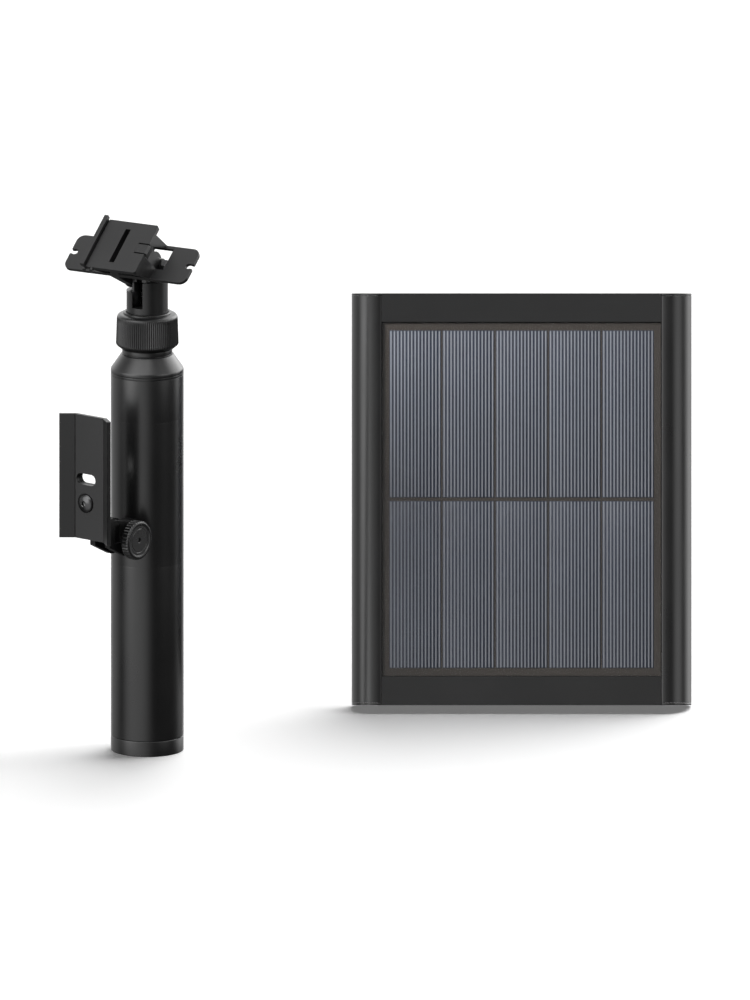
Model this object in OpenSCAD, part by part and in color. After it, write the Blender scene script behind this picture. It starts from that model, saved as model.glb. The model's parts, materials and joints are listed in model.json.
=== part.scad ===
// Pole-top mount and flat solar panel for a small battery security camera.
// The pole end stands at the origin with its axis on Z. The camera plate faces -Y.
// The panel is a loose unit that stands beside the pole on the same surface.

/* [Pole] */
// Outside diameter of the pole
pole_d = 36.5; // [34:0.5:44]
// Wall of the pole tube
pole_wall = 1.6; // [1.2:0.1:2.4]
// Length of the tube between the coupler ring and the shoulder cap
tube_len = 186; // [150:0.5:400]
// Height of the coupler ring that shows under the tube
coupler_ring_h = 8; // [5:0.5:12]
// Bore of the coupler, where the next pole section plugs in
socket_d = 28; // [20:0.5:28]
// Depth of the coupler bore
socket_depth = 38; // [25:1:60]
// Height of the sloped part of the shoulder cap
cone_h = 7.5; // [5:0.5:12]

/* [Collar and neck] */
// Outside diameter of the ribbed locking collar
collar_d = 31.4; // [29:0.1:34]
// Height of the locking collar
collar_h = 18.7; // [16:0.1:26]
// Number of ribs round the collar
collar_ribs = 90; // [40:2:110]
// Outside diameter of the turning neck
neck_d = 20.8; // [18:0.1:21]
// Height of the pivot above the collar
pivot_rise = 23; // [20:0.1:30]

/* [Head] */
// Resting turn of the head about the pole, from the camera plate's direction
head_yaw = 9; // [-30:1:30]
// Resting slope of the head plates from level
head_slope = 38.2; // [20:0.1:60]
// Length of the wing plate across its notches
wing_len = 70.2; // [60:0.2:90]
// Width of the wing plate
wing_w = 22; // [20:0.5:28]
// Thickness of the wing plate
wing_t = 1.8; // [1.4:0.1:2.6]
// Side of the square slide plate
slide_w = 31; // [28:0.5:36]
// Thickness of the slide plate
slide_t = 2; // [1.6:0.1:2.6]
// Height of the guide lip above the slide plate
lip_h = 2; // [1:0.1:2.4]
// Distance from the pivot to the wing plate's outer face
wing_out = 15; // [14:0.1:20]
// Distance from the pivot to the slide plate's outer face
slide_out = 29.6; // [26:0.1:36]

/* [Camera bracket] */
// Height of the camera plate
plate_h = 63.5; // [50:0.5:90]
// Width of the camera plate's flat middle
plate_w = 18; // [16:0.5:26]
// Width of each angled flange of the camera plate
flange_w = 8; // [5:0.5:12]
// Angle of the flanges from the flat middle
flange_angle = 38; // [20:1:50]
// Thickness of the camera plate
plate_t = 2; // [1.6:0.1:4]
// Distance from the pole's axis to the camera plate's front face
plate_out = 44.3; // [43:0.1:60]
// Height of the bracket hinge above the foot
hinge_z = 114.5; // [80:0.1:140]
// Radius of the bracket's rounded arms
arm_r = 9; // [8:0.1:11]
// Thickness of each bracket arm
arm_t = 3.3; // [3:0.1:6]
// Width of the hinge block between the arms
block_w = 5.6; // [5:0.1:9]
// Radius of the thumb knob
knob_r = 10; // [8:0.1:11]
// Thickness of the thumb knob
knob_t = 4.8; // [4:0.1:8]

/* [Panel] */
// Width of the solar panel
panel_w = 170; // [150:1:260]
// Height of the solar panel
panel_h = 206; // [180:1:300]
// Thickness of the solar panel
panel_t = 20; // [18:0.5:28]
// Width of each curved side rail
rail_w = 15; // [12:0.5:20]
// Height of the top and bottom bars
bar_h = 14.4; // [12:0.2:20]
// Turn of the standing panel about Z
panel_yaw = 39; // [0:1:60]
// Lean of the standing panel from upright
panel_lean = 13; // [0:1:20]
// Columns of cells
cell_columns = 5; // [4:1:6]
// Thickness of the cover glass
glass_t = 2; // [1.6:0.1:3.2]

/* [Hidden] */
$fn = 96;
fine_fn = 32;
slip = 0.05;          // radial clearance of a running fit
gap = 0.3;            // clearance between parts that move past each other
seat = 0.02;          // clearance of a fixed joint

pole_r = pole_d / 2;
tube_in_r = pole_r - pole_wall;
tube_z = coupler_ring_h;
tube_top = tube_z + tube_len;

cap_rim_h = 1.7;
cap_plug_h = 12;
cap_ring_h = 2.5;
neck_r = neck_d / 2;
boss_r = neck_r + 1.8;             // threaded boss that the collar screws onto
cone_top_r = boss_r + 0.9;
cap_ring_r = boss_r + 0.4;
cone_z = tube_top + cap_rim_h;
ring_z = cone_z + cone_h;
boss_z = ring_z + cap_ring_h;

collar_r = collar_d / 2;
collar_z = boss_z + gap;
collar_top = collar_z + collar_h;
collar_chamfer_h = 2.4;
collar_round_h = 3;
rib_depth = 0.35;
lip_t = 0.9;
collar_cover_t = 2;                // the collar's top wall, over the collet
collet_h = 3;
collet_top = collar_top - collar_cover_t - gap;
boss_top = collet_top - collet_h - seat;

pivot_z = collar_top + pivot_rise;
ear_r = 11.5;                      // the left ear's lower edge runs on this radius about the pivot
ear_short_r = 6;                   // and the right ear's on this one, over the neck's higher shoulder
neck_top = pivot_z - ear_r - 0.4;
shoulder_top = pivot_z - ear_short_r - 0.6;
neck_foot = tube_top - cap_plug_h - 6;
neck_floor_z = collar_top + 0.4;
neck_floor_t = 2.4;
window_w = 6;
tongue_w = 8;
tongue_r = 8;
sector_t = 2.6;
sector_r = 7.6;
sector_teeth = 24;
sector_tooth_h = 0.6;
fork_slot_w = sector_t + 2 * gap;
head_bolt_r = 2.5;
ear_in = tongue_w / 2 + gap;
spring_bore_r = ear_in - gap + slip; // keeps the plunger between the ears
ear_t = 4;
ear_out = ear_in + ear_t;
clip_z = neck_foot + 2.5;
clip_t = 1.2;
clip_depth = 0.9;

spring_wire = 1;
spring_r = spring_bore_r - spring_wire / 2 - 0.15;
spring_turns = 4;
spring_z = neck_floor_z + neck_floor_t;
plunger_r = spring_bore_r - slip;
plunger_top = pivot_z - sector_r - gap;
plunger_len = 4;
spring_top = plunger_top - plunger_len;

wing_y = -7.8;                     // centre of the wing plate, down the slope from the pivot
slide_y = wing_y - 3.8;            // centre of the slide plate
window_in = ear_out + 0.4;
window_out = 20;
window_low = wing_y - wing_w / 2 + 6.6;
window_high = wing_y + wing_w / 2 - 1.8;
notch_w = 2.8;
notch_depth = 3.6;
slide_slot_l = 21.8;
slide_slot_w = 2.9;
lip_w = 2.2;
tab_l = 6;
tab_w = 5.3;
tab_slit = 0.8;
trough_h = 5;                      // closed channel behind the slide plate's slot
trough_wall = 1.4;
hook_in = 3.4;                     // room behind the left edge for the panel's hook
web_t = 1.8;

plate_back = -plate_out + plate_t;
slot_x = -3.6;
slot_z = hinge_z + 31.2;
slot_l = 12.2;
slot_w = 5.6;
plate_screw_x = -3.8;
plate_screw_z = hinge_z + 19;
pad_t = 3;
pad_left = -11;
pad_right = 5.5;
pad_h = 37;
arm_in = block_w / 2 + gap;
arm_out = arm_in + arm_t;
hinge_y = -(pole_r + arm_r + 0.3);
yoke_x = 3.8;                      // the hinge sits to one side of the pole's axis
plate_x = -1.5;
block_r = arm_r - 1.2;
pocket_t = 1.2;
hinge_bolt_r = 2.5;
washer_t = 2.8;
knob_in = arm_out + washer_t + seat;
through_bolt_r = 1.5;
through_bolt_dz = 5;
washer_y = tube_in_r - 3.8;         // flat inner face of the washers behind the tube's wall

panel_x = 84.2;                    // foot of the panel's back edge on the surface
panel_y = 193.4;
rail_in = panel_w / 2 - rail_w;
front_y = -panel_t;
bar_recess = 0.3;
glass_recess = 0.6;
glass_w = 2 * rail_in - 0.4;
glass_h = panel_h - 2 * bar_h - 0.4;
cell_t = 0.2;
cell_area_w = 133;
cell_pitch = cell_area_w / cell_columns;
cell_gap = 0.8;
row_gap = 1.75;
cell_h = (glass_h - 8 - row_gap) / 2;
board_t = 1.2;
seal_t = 1;
ledge_w = 4;
ledge_t = 2;
glass_y = front_y + glass_recess;
cell_y = glass_y + glass_t;
board_y = cell_y + cell_t;
seal_y = board_y + board_t;
ledge_y = seal_y + seal_t;
back_t = 2.5;
wall = 1.8;
end_cap_t = 1.2;
receiver_clear = 0.3;
receiver_wall = 3;
receiver_lip = 2.6;
receiver_z = 118;
receiver_depth = slide_t + lip_h + 0.2;
receiver_t = receiver_depth + 2.4;
receiver_hook_h = 22;
receiver_foot_t = 2;
inlet_x = -42;
inlet_z = 34;
inlet_bore_r = 2.8;
inlet_r = 6;
inlet_len = 9;
back_screw_inset = rail_in - 5;
rail_screw_y = -9;

// --- Outlines ---------------------------------------------------------------

// Points on an arc about (cx, cy), from angle a to angle b
function arc(cx, cy, r, a, b, n = 8) =
    [for (i = [0:n]) [cx + r * cos(a + (b - a) * i / n), cy + r * sin(a + (b - a) * i / n)]];

// Corner points of a rectangle with rounded corners, centred at (cx, cy)
function rounded(w, h, r, cx = 0, cy = 0, n = 6) = concat(
    arc(cx + w / 2 - r, cy + h / 2 - r, r, 0, 90, n),
    arc(cx - w / 2 + r, cy + h / 2 - r, r, 90, 180, n),
    arc(cx - w / 2 + r, cy - h / 2 + r, r, 180, 270, n),
    arc(cx + w / 2 - r, cy - h / 2 + r, r, 270, 360, n));

// Outline of a shape with n flutes or ribs between two radii
function ribbed(r_out, r_in, n) = [for (i = [0:n - 1], k = [[0, r_in], [0.25, r_out], [0.75, r_out]])
    let (a = 360 * (i + k[0]) / n) [k[1] * cos(a), k[1] * sin(a)]];

// Solid between two lengths along X, from an outline in Y and Z
module along_x(x0, x1) {
    translate([x0, 0, 0]) rotate([90, 0, 90]) linear_extrude(x1 - x0) children();
}

// Solid between two depths along Y, from an outline in X and Z
module along_y(y0, y1) {
    translate([0, y1, 0]) rotate([90, 0, 0]) linear_extrude(y1 - y0) children();
}

module tube(r_out, r_in, h) {
    difference() {
        cylinder(r = r_out, h = h);
        translate([0, 0, -1]) cylinder(r = r_in, h = h + 2);
    }
}

module both_sides() {
    children();
    mirror([1, 0, 0]) children();
}

// Hexagon across flats, used by nuts and bolt heads
module hexagon(flats, h) {
    cylinder(d = flats / cos(30), h = h, $fn = 6);
}

module place_neck() {
    rotate([0, 0, head_yaw]) children();
}

module place_head() {
    translate([0, 0, pivot_z]) rotate([0, 0, head_yaw]) rotate([head_slope, 0, 0]) children();
}

module place_panel() {
    translate([panel_x, panel_y, 0]) rotate([0, 0, panel_yaw]) rotate([-panel_lean, 0, 0]) children();
}

// --- Pole -------------------------------------------------------------------

module pole_tube() color("#2b2b2c") difference() {
    translate([0, 0, tube_z]) tube(pole_r, tube_in_r, tube_len);
    for (s = [-1, 1]) translate([yoke_x, 0, hinge_z + s * through_bolt_dz])
        rotate([90, 0, 0]) cylinder(r = through_bolt_r + slip, h = pole_d);
}

module pole_coupler() color("#303031") difference() {
    union() {
        cylinder(r = pole_r, h = coupler_ring_h - seat);
        cylinder(r = tube_in_r - seat, h = socket_depth + 4);
    }
    translate([0, 0, -1]) cylinder(d = socket_d, h = socket_depth + 1);
    cylinder(r = socket_d / 2 - 4, h = socket_depth + 5);
}

module shoulder_cap() color("#2e2e2f") rotate_extrude() polygon([
    [neck_r + slip, tube_top - cap_plug_h], [tube_in_r - seat, tube_top - cap_plug_h],
    [tube_in_r - seat, tube_top + seat], [pole_r, tube_top + seat], [pole_r, cone_z],
    [cone_top_r, ring_z], [cap_ring_r, ring_z], [cap_ring_r, boss_z], [boss_r, boss_z],
    [boss_r, boss_top], [neck_r + slip, boss_top]]);

module neck_collet() color("#1c1c1d") place_neck() difference() {
    translate([0, 0, boss_top + seat]) tube(boss_r, neck_r + slip, collet_h);
    translate([neck_r, 0, boss_top]) cube([2 * boss_r, 1.5, 4 * collet_h], center = true);
}

// Block that carries the bracket hinge, shaped to the pole
module hinge_block() color("#232324") difference() {
    along_x(yoke_x - block_w / 2, yoke_x + block_w / 2) difference() {
        union() {
            translate([hinge_y, hinge_z]) circle(r = block_r);
            translate([hinge_y, hinge_z - block_r]) square([-hinge_y - pole_r / 2, 2 * block_r]);
        }
        translate([hinge_y, hinge_z]) circle(r = hinge_bolt_r + slip);
    }
    cylinder(r = pole_r + seat, h = 2 * hinge_z);
    for (s = [-1, 1]) translate([yoke_x, 0, hinge_z + s * through_bolt_dz])
        rotate([90, 0, 0]) cylinder(r = through_bolt_r, h = pole_r + 5);
}

// Bolts from inside the tube, through its wall into the hinge block
module hinge_through_bolts() color("#8c8c8e") for (s = [-1, 1])
    translate([yoke_x, 0, hinge_z + s * through_bolt_dz]) rotate([90, 0, 0]) {
        translate([0, 0, washer_y - 0.5]) cylinder(r = through_bolt_r - seat, h = pole_r + 4 - washer_y);
        translate([0, 0, washer_y - seat - 2.2]) cylinder(r = 3, h = 2.2);
    }

module bolt_saddle_washers() color("#3a3a3b") for (s = [-1, 1]) difference() {
    intersection() {
        translate([yoke_x, 0, hinge_z + s * through_bolt_dz]) rotate([90, 0, 0])
            translate([0, 0, washer_y]) cylinder(r = 3.8, h = pole_r);
        cylinder(r = tube_in_r - seat, h = 2 * hinge_z);
    }
    translate([yoke_x, 0, hinge_z + s * through_bolt_dz]) rotate([90, 0, 0])
        cylinder(r = through_bolt_r + slip, h = pole_d);
}

// --- Collar and neck --------------------------------------------------------

module lock_collar() color("#2a2a2b") translate([0, 0, collar_z]) difference() {
    union() {
        cylinder(r1 = boss_r + 0.9, r2 = collar_r - rib_depth - 0.2, h = collar_chamfer_h);
        translate([0, 0, collar_chamfer_h]) linear_extrude(collar_h - collar_chamfer_h - collar_round_h)
            polygon(ribbed(collar_r, collar_r - rib_depth, collar_ribs));
        translate([0, 0, collar_h - collar_round_h]) rotate_extrude() polygon(concat([[0, -0.5], [collar_r - rib_depth - 0.2, -0.5]],
            arc(collar_r - rib_depth - 2, collar_round_h - lip_t - 1.8, 1.8, 0, 75, 6),
            [[collar_r - 4.4, collar_round_h - lip_t + 0.3], [collar_r - 4.4, collar_round_h],
                [0, collar_round_h]]));
    }
    translate([0, 0, -1]) cylinder(r = boss_r + gap, h = collar_h - collar_cover_t + 1);
    cylinder(r = neck_r + gap, h = collar_h + 1);
}

module neck_fork() color("#303031") place_neck() difference() {
    union() {
        translate([0, 0, neck_foot]) cylinder(r = neck_r, h = neck_top - neck_foot);
        intersection() {
            translate([0, 0, neck_foot]) cylinder(r = neck_r, h = shoulder_top - neck_foot);
            translate([0, -neck_r, 0]) cube([neck_r, neck_d, shoulder_top]);
        }
        along_x(-tongue_w / 2, tongue_w / 2) {
            translate([0, pivot_z]) circle(r = tongue_r);
            translate([-tongue_r, neck_top - 1]) square([2 * tongue_r, pivot_z - neck_top + 1]);
        }
    }
    translate([0, 0, neck_foot - 1]) cylinder(r = neck_r - 2.8, h = neck_floor_z - neck_foot + 1);
    translate([0, 0, spring_z]) cylinder(r = spring_bore_r, h = plunger_top - spring_z + gap);
    translate([-window_w / 2, -2 * neck_r, spring_z + 0.4])
        cube([window_w, 2 * neck_r, shoulder_top - spring_z - 0.4]);
    translate([-fork_slot_w / 2, -neck_d, plunger_top])
        cube([fork_slot_w, 2 * neck_d, 4 * ear_r]);
    translate([0, 0, pivot_z]) rotate([0, 90, 0]) cylinder(r = head_bolt_r + slip, h = neck_d, center = true);
    translate([0, 0, clip_z - seat]) tube(neck_r + 2, neck_r - clip_depth, clip_t + 2 * seat);
}

module neck_retaining_clip() color("#77777a") place_neck() translate([0, 0, clip_z]) difference() {
    tube(neck_r + 2, neck_r - clip_depth + seat, clip_t);
    translate([0, -neck_r, clip_t / 2]) cube([5, 2 * neck_r, 2 * clip_t], center = true);
}

// Ring of points round a coil's centre line
function coil_ring(i, per_turn, sides) = let (
    a = 360 * i / per_turn,
    z = spring_z + spring_wire / 2
        + (spring_top - spring_z - spring_wire) * i / (spring_turns * per_turn))
    [for (k = [0:sides - 1]) let (b = 360 * k / sides, r = spring_r + spring_wire / 2 * cos(b))
        [r * cos(a), r * sin(a), z + spring_wire / 2 * sin(b)]];

module detent_spring(per_turn = 14, sides = 8) color("#b9babd") place_neck() {
    rings = spring_turns * per_turn;
    polyhedron(
        points = [for (i = [0:rings]) each coil_ring(i, per_turn, sides)],
        faces = concat(
            [[for (k = [0:sides - 1]) k]],
            [for (i = [0:rings - 1], k = [0:sides - 1]) let (n = (k + 1) % sides)
                [i * sides + k, (i + 1) * sides + k, (i + 1) * sides + n, i * sides + n]],
            [[for (k = [0:sides - 1]) rings * sides + sides - 1 - k]]));
}

module detent_plunger() color("#a88a4a") place_neck() translate([0, 0, spring_top]) {
    cylinder(r = plunger_r, h = plunger_len - 1);
    translate([0, 0, plunger_len - 1]) cylinder(r1 = plunger_r, r2 = 1, h = 1);
}

module head_pivot_bolt() color("#1b1b1c") place_neck() translate([0, 0, pivot_z]) rotate([0, 90, 0]) {
    translate([0, 0, -ear_out - 3]) cylinder(r = head_bolt_r, h = 2 * ear_out + 7);
    translate([0, 0, -ear_out - 3]) cylinder(r = 4.2, h = 3 - gap);
}

module head_pivot_nut() color("#242425") place_neck() translate([0, 0, pivot_z]) rotate([0, 90, 0])
    translate([0, 0, ear_out + gap]) difference() {
        hexagon(8, 3.4);
        translate([0, 0, -1]) cylinder(r = head_bolt_r + seat, h = 6);
    }

// --- Head -------------------------------------------------------------------

module wing_outline() difference() {
    polygon(rounded(wing_len, wing_w, 4, 0, wing_y));
    for (s = [-1, 1]) {
        translate([s * wing_len / 2, wing_y]) square([2 * (notch_depth - 1.4), notch_w], center = true);
        translate([s * (wing_len / 2 - notch_depth + 1.4), wing_y]) circle(r = 1.7, $fn = fine_fn);
    }
    translate([window_in, window_low]) square([window_out - window_in, window_high - window_low]);
}

// One ear of the head, in Y and Z about the pivot, with its lower edge at radius r
module ear_outline(r) difference() {
    polygon(concat(
        [[wing_y - wing_w / 2, wing_out - wing_t], [0.6, wing_out - wing_t], [1.2, 6.5]],
        arc(0, 0, 5, 60, -30),
        arc(0, 0, r, 262, 189, 12)));
    circle(r = head_bolt_r + slip);
}

module upper_web() polygon([
    [wing_y + wing_w / 2, wing_out], [window_high, wing_out],
    [slide_y + tab_w / 2 + tab_slit, slide_out - slide_t], [wing_y + 7.1, slide_out - slide_t]]);

module lower_web() polygon([
    [window_low, wing_out], [wing_y - wing_w / 2, wing_out],
    [slide_y - slide_w / 2, slide_out - slide_t], [slide_y - tab_w / 2 - tab_slit, slide_out - slide_t]]);

// Toothed disc between the ears that the plunger clicks into
module detent_sector() difference() {
    union() {
        polygon(ribbed(sector_r, sector_r - sector_tooth_h, sector_teeth));
        translate([-sector_r * 0.8, 0]) square([sector_r, wing_out - wing_t]);
    }
    circle(r = head_bolt_r + slip);
}

module head_bracket() color("#2c2c2d") place_head() {
    translate([0, 0, wing_out - wing_t]) linear_extrude(wing_t) wing_outline();
    for (x = [slide_w / 2 - web_t, hook_in - slide_w / 2]) along_x(x, x + web_t) {
        upper_web();
        lower_web();
    }
    along_x(-ear_out, -ear_in) ear_outline(ear_r);
    along_x(ear_in, ear_out) ear_outline(ear_short_r);
    along_x(-sector_t / 2, sector_t / 2) detent_sector();
}

module slide_plate() color("#2f2f30") place_head() translate([0, 0, slide_out - slide_t]) {
    linear_extrude(slide_t) difference() {
        polygon(rounded(slide_w, slide_w, 1.2, 0, slide_y));
        polygon(rounded(slide_slot_w, slide_slot_l, 0.4, 0, slide_y));
        translate([slide_w / 2 - tab_l / 2 + 0.5, slide_y])
            square([tab_l + 1, tab_w + 2 * tab_slit], center = true);
    }
    translate([0, 0, -trough_h]) linear_extrude(trough_h + seat) difference() {
        polygon(rounded(slide_slot_w + 2 * trough_wall, slide_slot_l + 2 * trough_wall, 1, 0, slide_y));
        polygon(rounded(slide_slot_w, slide_slot_l, 0.4, 0, slide_y));
    }
    translate([0, 0, -trough_h - trough_wall]) linear_extrude(trough_wall + seat)
        polygon(rounded(slide_slot_w + 2 * trough_wall, slide_slot_l + 2 * trough_wall, 1, 0, slide_y));
    translate([-slide_w / 2, slide_y - slide_w / 2, slide_t]) cube([lip_w, slide_w + 1, lip_h]);
    for (x = [-13.5, -9.5]) translate([x, slide_y - slide_w / 2 + 0.2, 0.9])
        rotate([90, 0, 0]) cylinder(r = 0.9, h = 1.6, $fn = fine_fn);
}

// Sprung tongue cut into the slide plate, with a barb on its free edge
module latch_tab() color("#2f2f30") place_head() translate([slide_w / 2, slide_y, slide_out - slide_t])
    translate([0, tab_w / 2, 0]) rotate([90, 0, 0]) linear_extrude(tab_w)
        polygon([[seat - tab_l, 0], [0, 0], [0.7, 0.5], [0.7, 0.9], [0, slide_t], [seat - tab_l, slide_t]]);

// --- Camera bracket ---------------------------------------------------------

// Outline of the camera plate seen from above
function plate_points() = let (
    half = plate_w / 2,
    fx = flange_w * cos(flange_angle), fy = flange_w * sin(flange_angle),
    bx = plate_t * sin(flange_angle), by = plate_t * cos(flange_angle),
    crease = half + plate_t * tan(flange_angle / 2),
    right = [[half, -plate_out], [half + fx, -plate_out - fy],
        [half + fx + bx, -plate_out - fy + by], [crease, plate_back]])
    concat(right, [for (i = [3:-1:0]) [-right[i][0], right[i][1]]]);

module camera_plate() color("#2d2d2e") difference() {
    translate([plate_x, 0, hinge_z + 0.5]) linear_extrude(plate_h) polygon(plate_points());
    along_y(-plate_out - 1, plate_back + 1) polygon(rounded(slot_l, slot_w, slot_w / 2 - 0.01, slot_x, slot_z, 10));
    translate([plate_screw_x, plate_back + 1, plate_screw_z]) rotate([90, 0, 0])
        cylinder(r = 2.2, h = plate_t + 3);
    translate([plate_screw_x, -plate_out + 0.8, plate_screw_z]) rotate([90, 0, 0]) cylinder(r = 5, h = 5);
}

module arm_outline() difference() {
    polygon(concat(
        [[plate_back + seat, hinge_z - 2.4], [plate_back + seat, hinge_z + arm_r + 3.4],
            [plate_back + pad_t + 2, hinge_z + arm_r + 2]],
        arc(hinge_y, hinge_z, arm_r, 90, -102, 20)));
    translate([hinge_y, hinge_z]) circle(r = hinge_bolt_r + slip);
}

module bracket_yoke() color("#202021") difference() {
    union() {
        translate([yoke_x - arm_out, plate_back + seat, hinge_z + 0.5]) cube([2 * arm_out, pad_t, arm_r + 2.9]);
        translate([pad_left, plate_back + seat, hinge_z + 0.5]) cube([pad_right - pad_left, pad_t, pad_h]);
        translate([yoke_x, 0, 0]) both_sides() along_x(arm_in, arm_out) arm_outline();
    }
    translate([plate_screw_x, plate_back + 2 * pad_t, plate_screw_z]) rotate([90, 0, 0])
        cylinder(r = 2.2, h = 3 * pad_t);
    along_y(plate_back - 1, plate_back + pad_t + 1)
        polygon(rounded(slot_l, slot_w, slot_w / 2 - 0.01, slot_x, slot_z, 10));
    translate([yoke_x, 0, 0]) both_sides() translate([arm_out - pocket_t, plate_back + pad_t + 0.8, hinge_z - 1])
        cube([2 * pocket_t, 5, 9]);
}

module camera_plate_screw() color("#1d1d1e") translate([plate_screw_x, -plate_out + 0.8 - seat, plate_screw_z])
    rotate([90, 0, 0]) {
        translate([0, 0, -plate_t - pad_t - 3]) cylinder(r = 2.2 - seat, h = plate_t + pad_t + 3);
        intersection() {
            translate([0, 0, -2.9]) sphere(r = 5.5);
            cylinder(r = 6, h = 4);
        }
    }

module camera_plate_nut() color("#8a8a8c")
    translate([plate_screw_x, plate_back + pad_t + 2 * seat, plate_screw_z]) rotate([-90, 0, 0]) difference() {
        hexagon(7, 2);
        translate([0, 0, -1]) cylinder(r = 2.2, h = 4);
    }

module hinge_bolt() color("#828285") translate([yoke_x - arm_out - washer_t - 3, hinge_y, hinge_z]) rotate([0, 90, 0]) {
    hexagon(8, 3);
    cylinder(r = hinge_bolt_r, h = knob_in + arm_out + washer_t + 3 + knob_t - 1.2);
}

module hinge_washers() color("#6f6f72") translate([yoke_x, 0, 0]) both_sides()
    translate([arm_out + seat / 2, hinge_y, hinge_z]) rotate([0, 90, 0])
        tube(5, hinge_bolt_r + slip, washer_t - seat);

module thumb_knob() color("#2a2a2b") translate([yoke_x + knob_in, hinge_y, hinge_z]) rotate([0, 90, 0]) difference() {
    union() {
        linear_extrude(knob_t - 0.8) polygon(ribbed(knob_r, knob_r - 0.3, 40));
        translate([0, 0, knob_t - 0.8]) cylinder(r1 = knob_r - 0.7, r2 = knob_r - 1.3, h = 0.8);
    }
    translate([0, 0, knob_t - 0.5]) cylinder(r = knob_r - 2.2, h = 1);
    translate([0, 0, -1]) hexagon(8 + seat, 4);
    translate([0, 0, -1]) cylinder(r = 1.1, h = knob_t + 2);
    translate([0, 0, -1]) cylinder(r = hinge_bolt_r + slip, h = knob_t - 0.1);
}

module knob_insert() color("#b08d45") translate([yoke_x + knob_in + seat, hinge_y, hinge_z]) rotate([0, 90, 0]) difference() {
    hexagon(8, 3 - 2 * seat);
    translate([0, 0, -1]) cylinder(r = hinge_bolt_r + slip, h = 5);
}

// --- Solar panel ------------------------------------------------------------

// Cross-section of the right rail: flat at the window, then curving back to the side
function rail_points() = let (flat = 2.5, rx = rail_w - flat, ry = panel_t * 0.62) concat(
    [[rail_in, front_y + bar_recess], [rail_in + 0.5, front_y]],
    [for (i = [0:16]) let (a = 90 - 90 * i / 16)
        [panel_w / 2 - rx + rx * cos(a), front_y + ry - ry * sin(a)]],
    arc(panel_w / 2 - 3, -3, 3, 0, 90, 5),
    [[rail_in + 2, 0], [rail_in + 2, -back_t - seat], [rail_in, -back_t - seat]]);

module rail_outline() difference() {
    polygon(rail_points());
    polygon(rounded(rail_w - 6, panel_t - 9, 2, rail_in + rail_w / 2 - 0.6, -panel_t / 2 + 0.6, 4));
}

module rail_right_solid() difference() {
    union() {
        translate([0, 0, end_cap_t + seat]) linear_extrude(panel_h - 2 * end_cap_t - 2 * seat) rail_outline();
        translate([rail_in - ledge_w, ledge_y, bar_h]) cube([ledge_w + 0.5, ledge_t, panel_h - 2 * bar_h]);
    }
    for (z = [bar_h / 2, panel_h - bar_h / 2]) translate([0, rail_screw_y, z]) rotate([0, 90, 0]) {
        cylinder(r = 1.7, h = panel_w);
        translate([0, 0, rail_in + rail_w / 2]) cylinder(r = 3.4, h = rail_w);
    }
}

module rail_right() color("#333334") place_panel() rail_right_solid();

module rail_left() color("#333334") place_panel() mirror([1, 0, 0]) rail_right_solid();

module rail_end_caps() color("#2e2e2f") place_panel() both_sides() for (z = [0, panel_h - end_cap_t])
    translate([0, 0, z]) linear_extrude(end_cap_t) polygon(rail_points());

// Bar between the rails, drawn for the bottom edge and open to the back
module bar_solid() difference() {
    union() {
        translate([-rail_in + seat, front_y + bar_recess, 0])
            cube([2 * (rail_in - seat), panel_t - bar_recess - back_t - seat, bar_h]);
        translate([-rail_in + ledge_w + 1, ledge_y, 0]) cube([2 * (rail_in - ledge_w - 1), ledge_t, bar_h + ledge_w]);
    }
    translate([-rail_in + 10, front_y + bar_recess + wall, wall])
        cube([2 * (rail_in - 10), panel_t, bar_h - 2 * wall]);
    for (s = [-1, 1]) translate([s * (rail_in - 10.5), rail_screw_y, bar_h / 2])
        rotate([0, 90, 0]) cylinder(r = 1.5, h = 22, center = true);
    for (s = [-1, 1]) translate([s * back_screw_inset, -9, bar_h / 2 - 3]) rotate([-90, 0, 0])
        cylinder(r = 1.3, h = 12);
}

module frame_bar_bottom() color("#2b2b2c") place_panel() bar_solid();

module frame_bar_top() color("#313132") place_panel() translate([0, 0, panel_h]) mirror([0, 0, 1]) bar_solid();

module frame_screws() color("#8a8a8c") place_panel() both_sides() for (z = [bar_h / 2, panel_h - bar_h / 2])
    translate([rail_in - 8, rail_screw_y, z]) rotate([0, 90, 0]) {
        cylinder(r = 1.5 - seat, h = 8 + rail_w / 2);
        translate([0, 0, 8 + rail_w / 2]) cylinder(r = 3, h = 2);
    }

module cover_glass() color([0.1, 0.11, 0.14, 0.5]) place_panel()
    translate([-glass_w / 2, glass_y, (panel_h - glass_h) / 2]) cube([glass_w, glass_t, glass_h]);

module cell_row(z) for (i = [0:cell_columns - 1])
    translate([-cell_area_w / 2 + i * cell_pitch + cell_gap / 2, cell_y, z])
        cube([cell_pitch - cell_gap, cell_t, cell_h]);

module cells_upper_row() color("#1b1f2b") place_panel() cell_row(panel_h / 2 + row_gap / 2);

module cells_lower_row() color("#1b1f2b") place_panel() cell_row(panel_h / 2 - row_gap / 2 - cell_h);

module cell_board() color("#3b342e") place_panel()
    translate([-glass_w / 2, board_y, (panel_h - glass_h) / 2]) cube([glass_w, board_t, glass_h]);

module glass_seal() color("#151515") place_panel() translate([0, 0, panel_h / 2]) along_y(seal_y, ledge_y)
    difference() {
        square([glass_w, glass_h], center = true);
        square([glass_w - 2 * ledge_w + 1, glass_h - 2 * ledge_w + 1], center = true);
    }

module junction_board() color("#1d5134") place_panel() difference() {
    translate([inlet_x - 14, -back_t - 3, inlet_z - 14]) cube([46, 1.6, 30]);
    translate([inlet_x, 0, inlet_z]) rotate([90, 0, 0]) cylinder(r = 2, h = 10);
}

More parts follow.
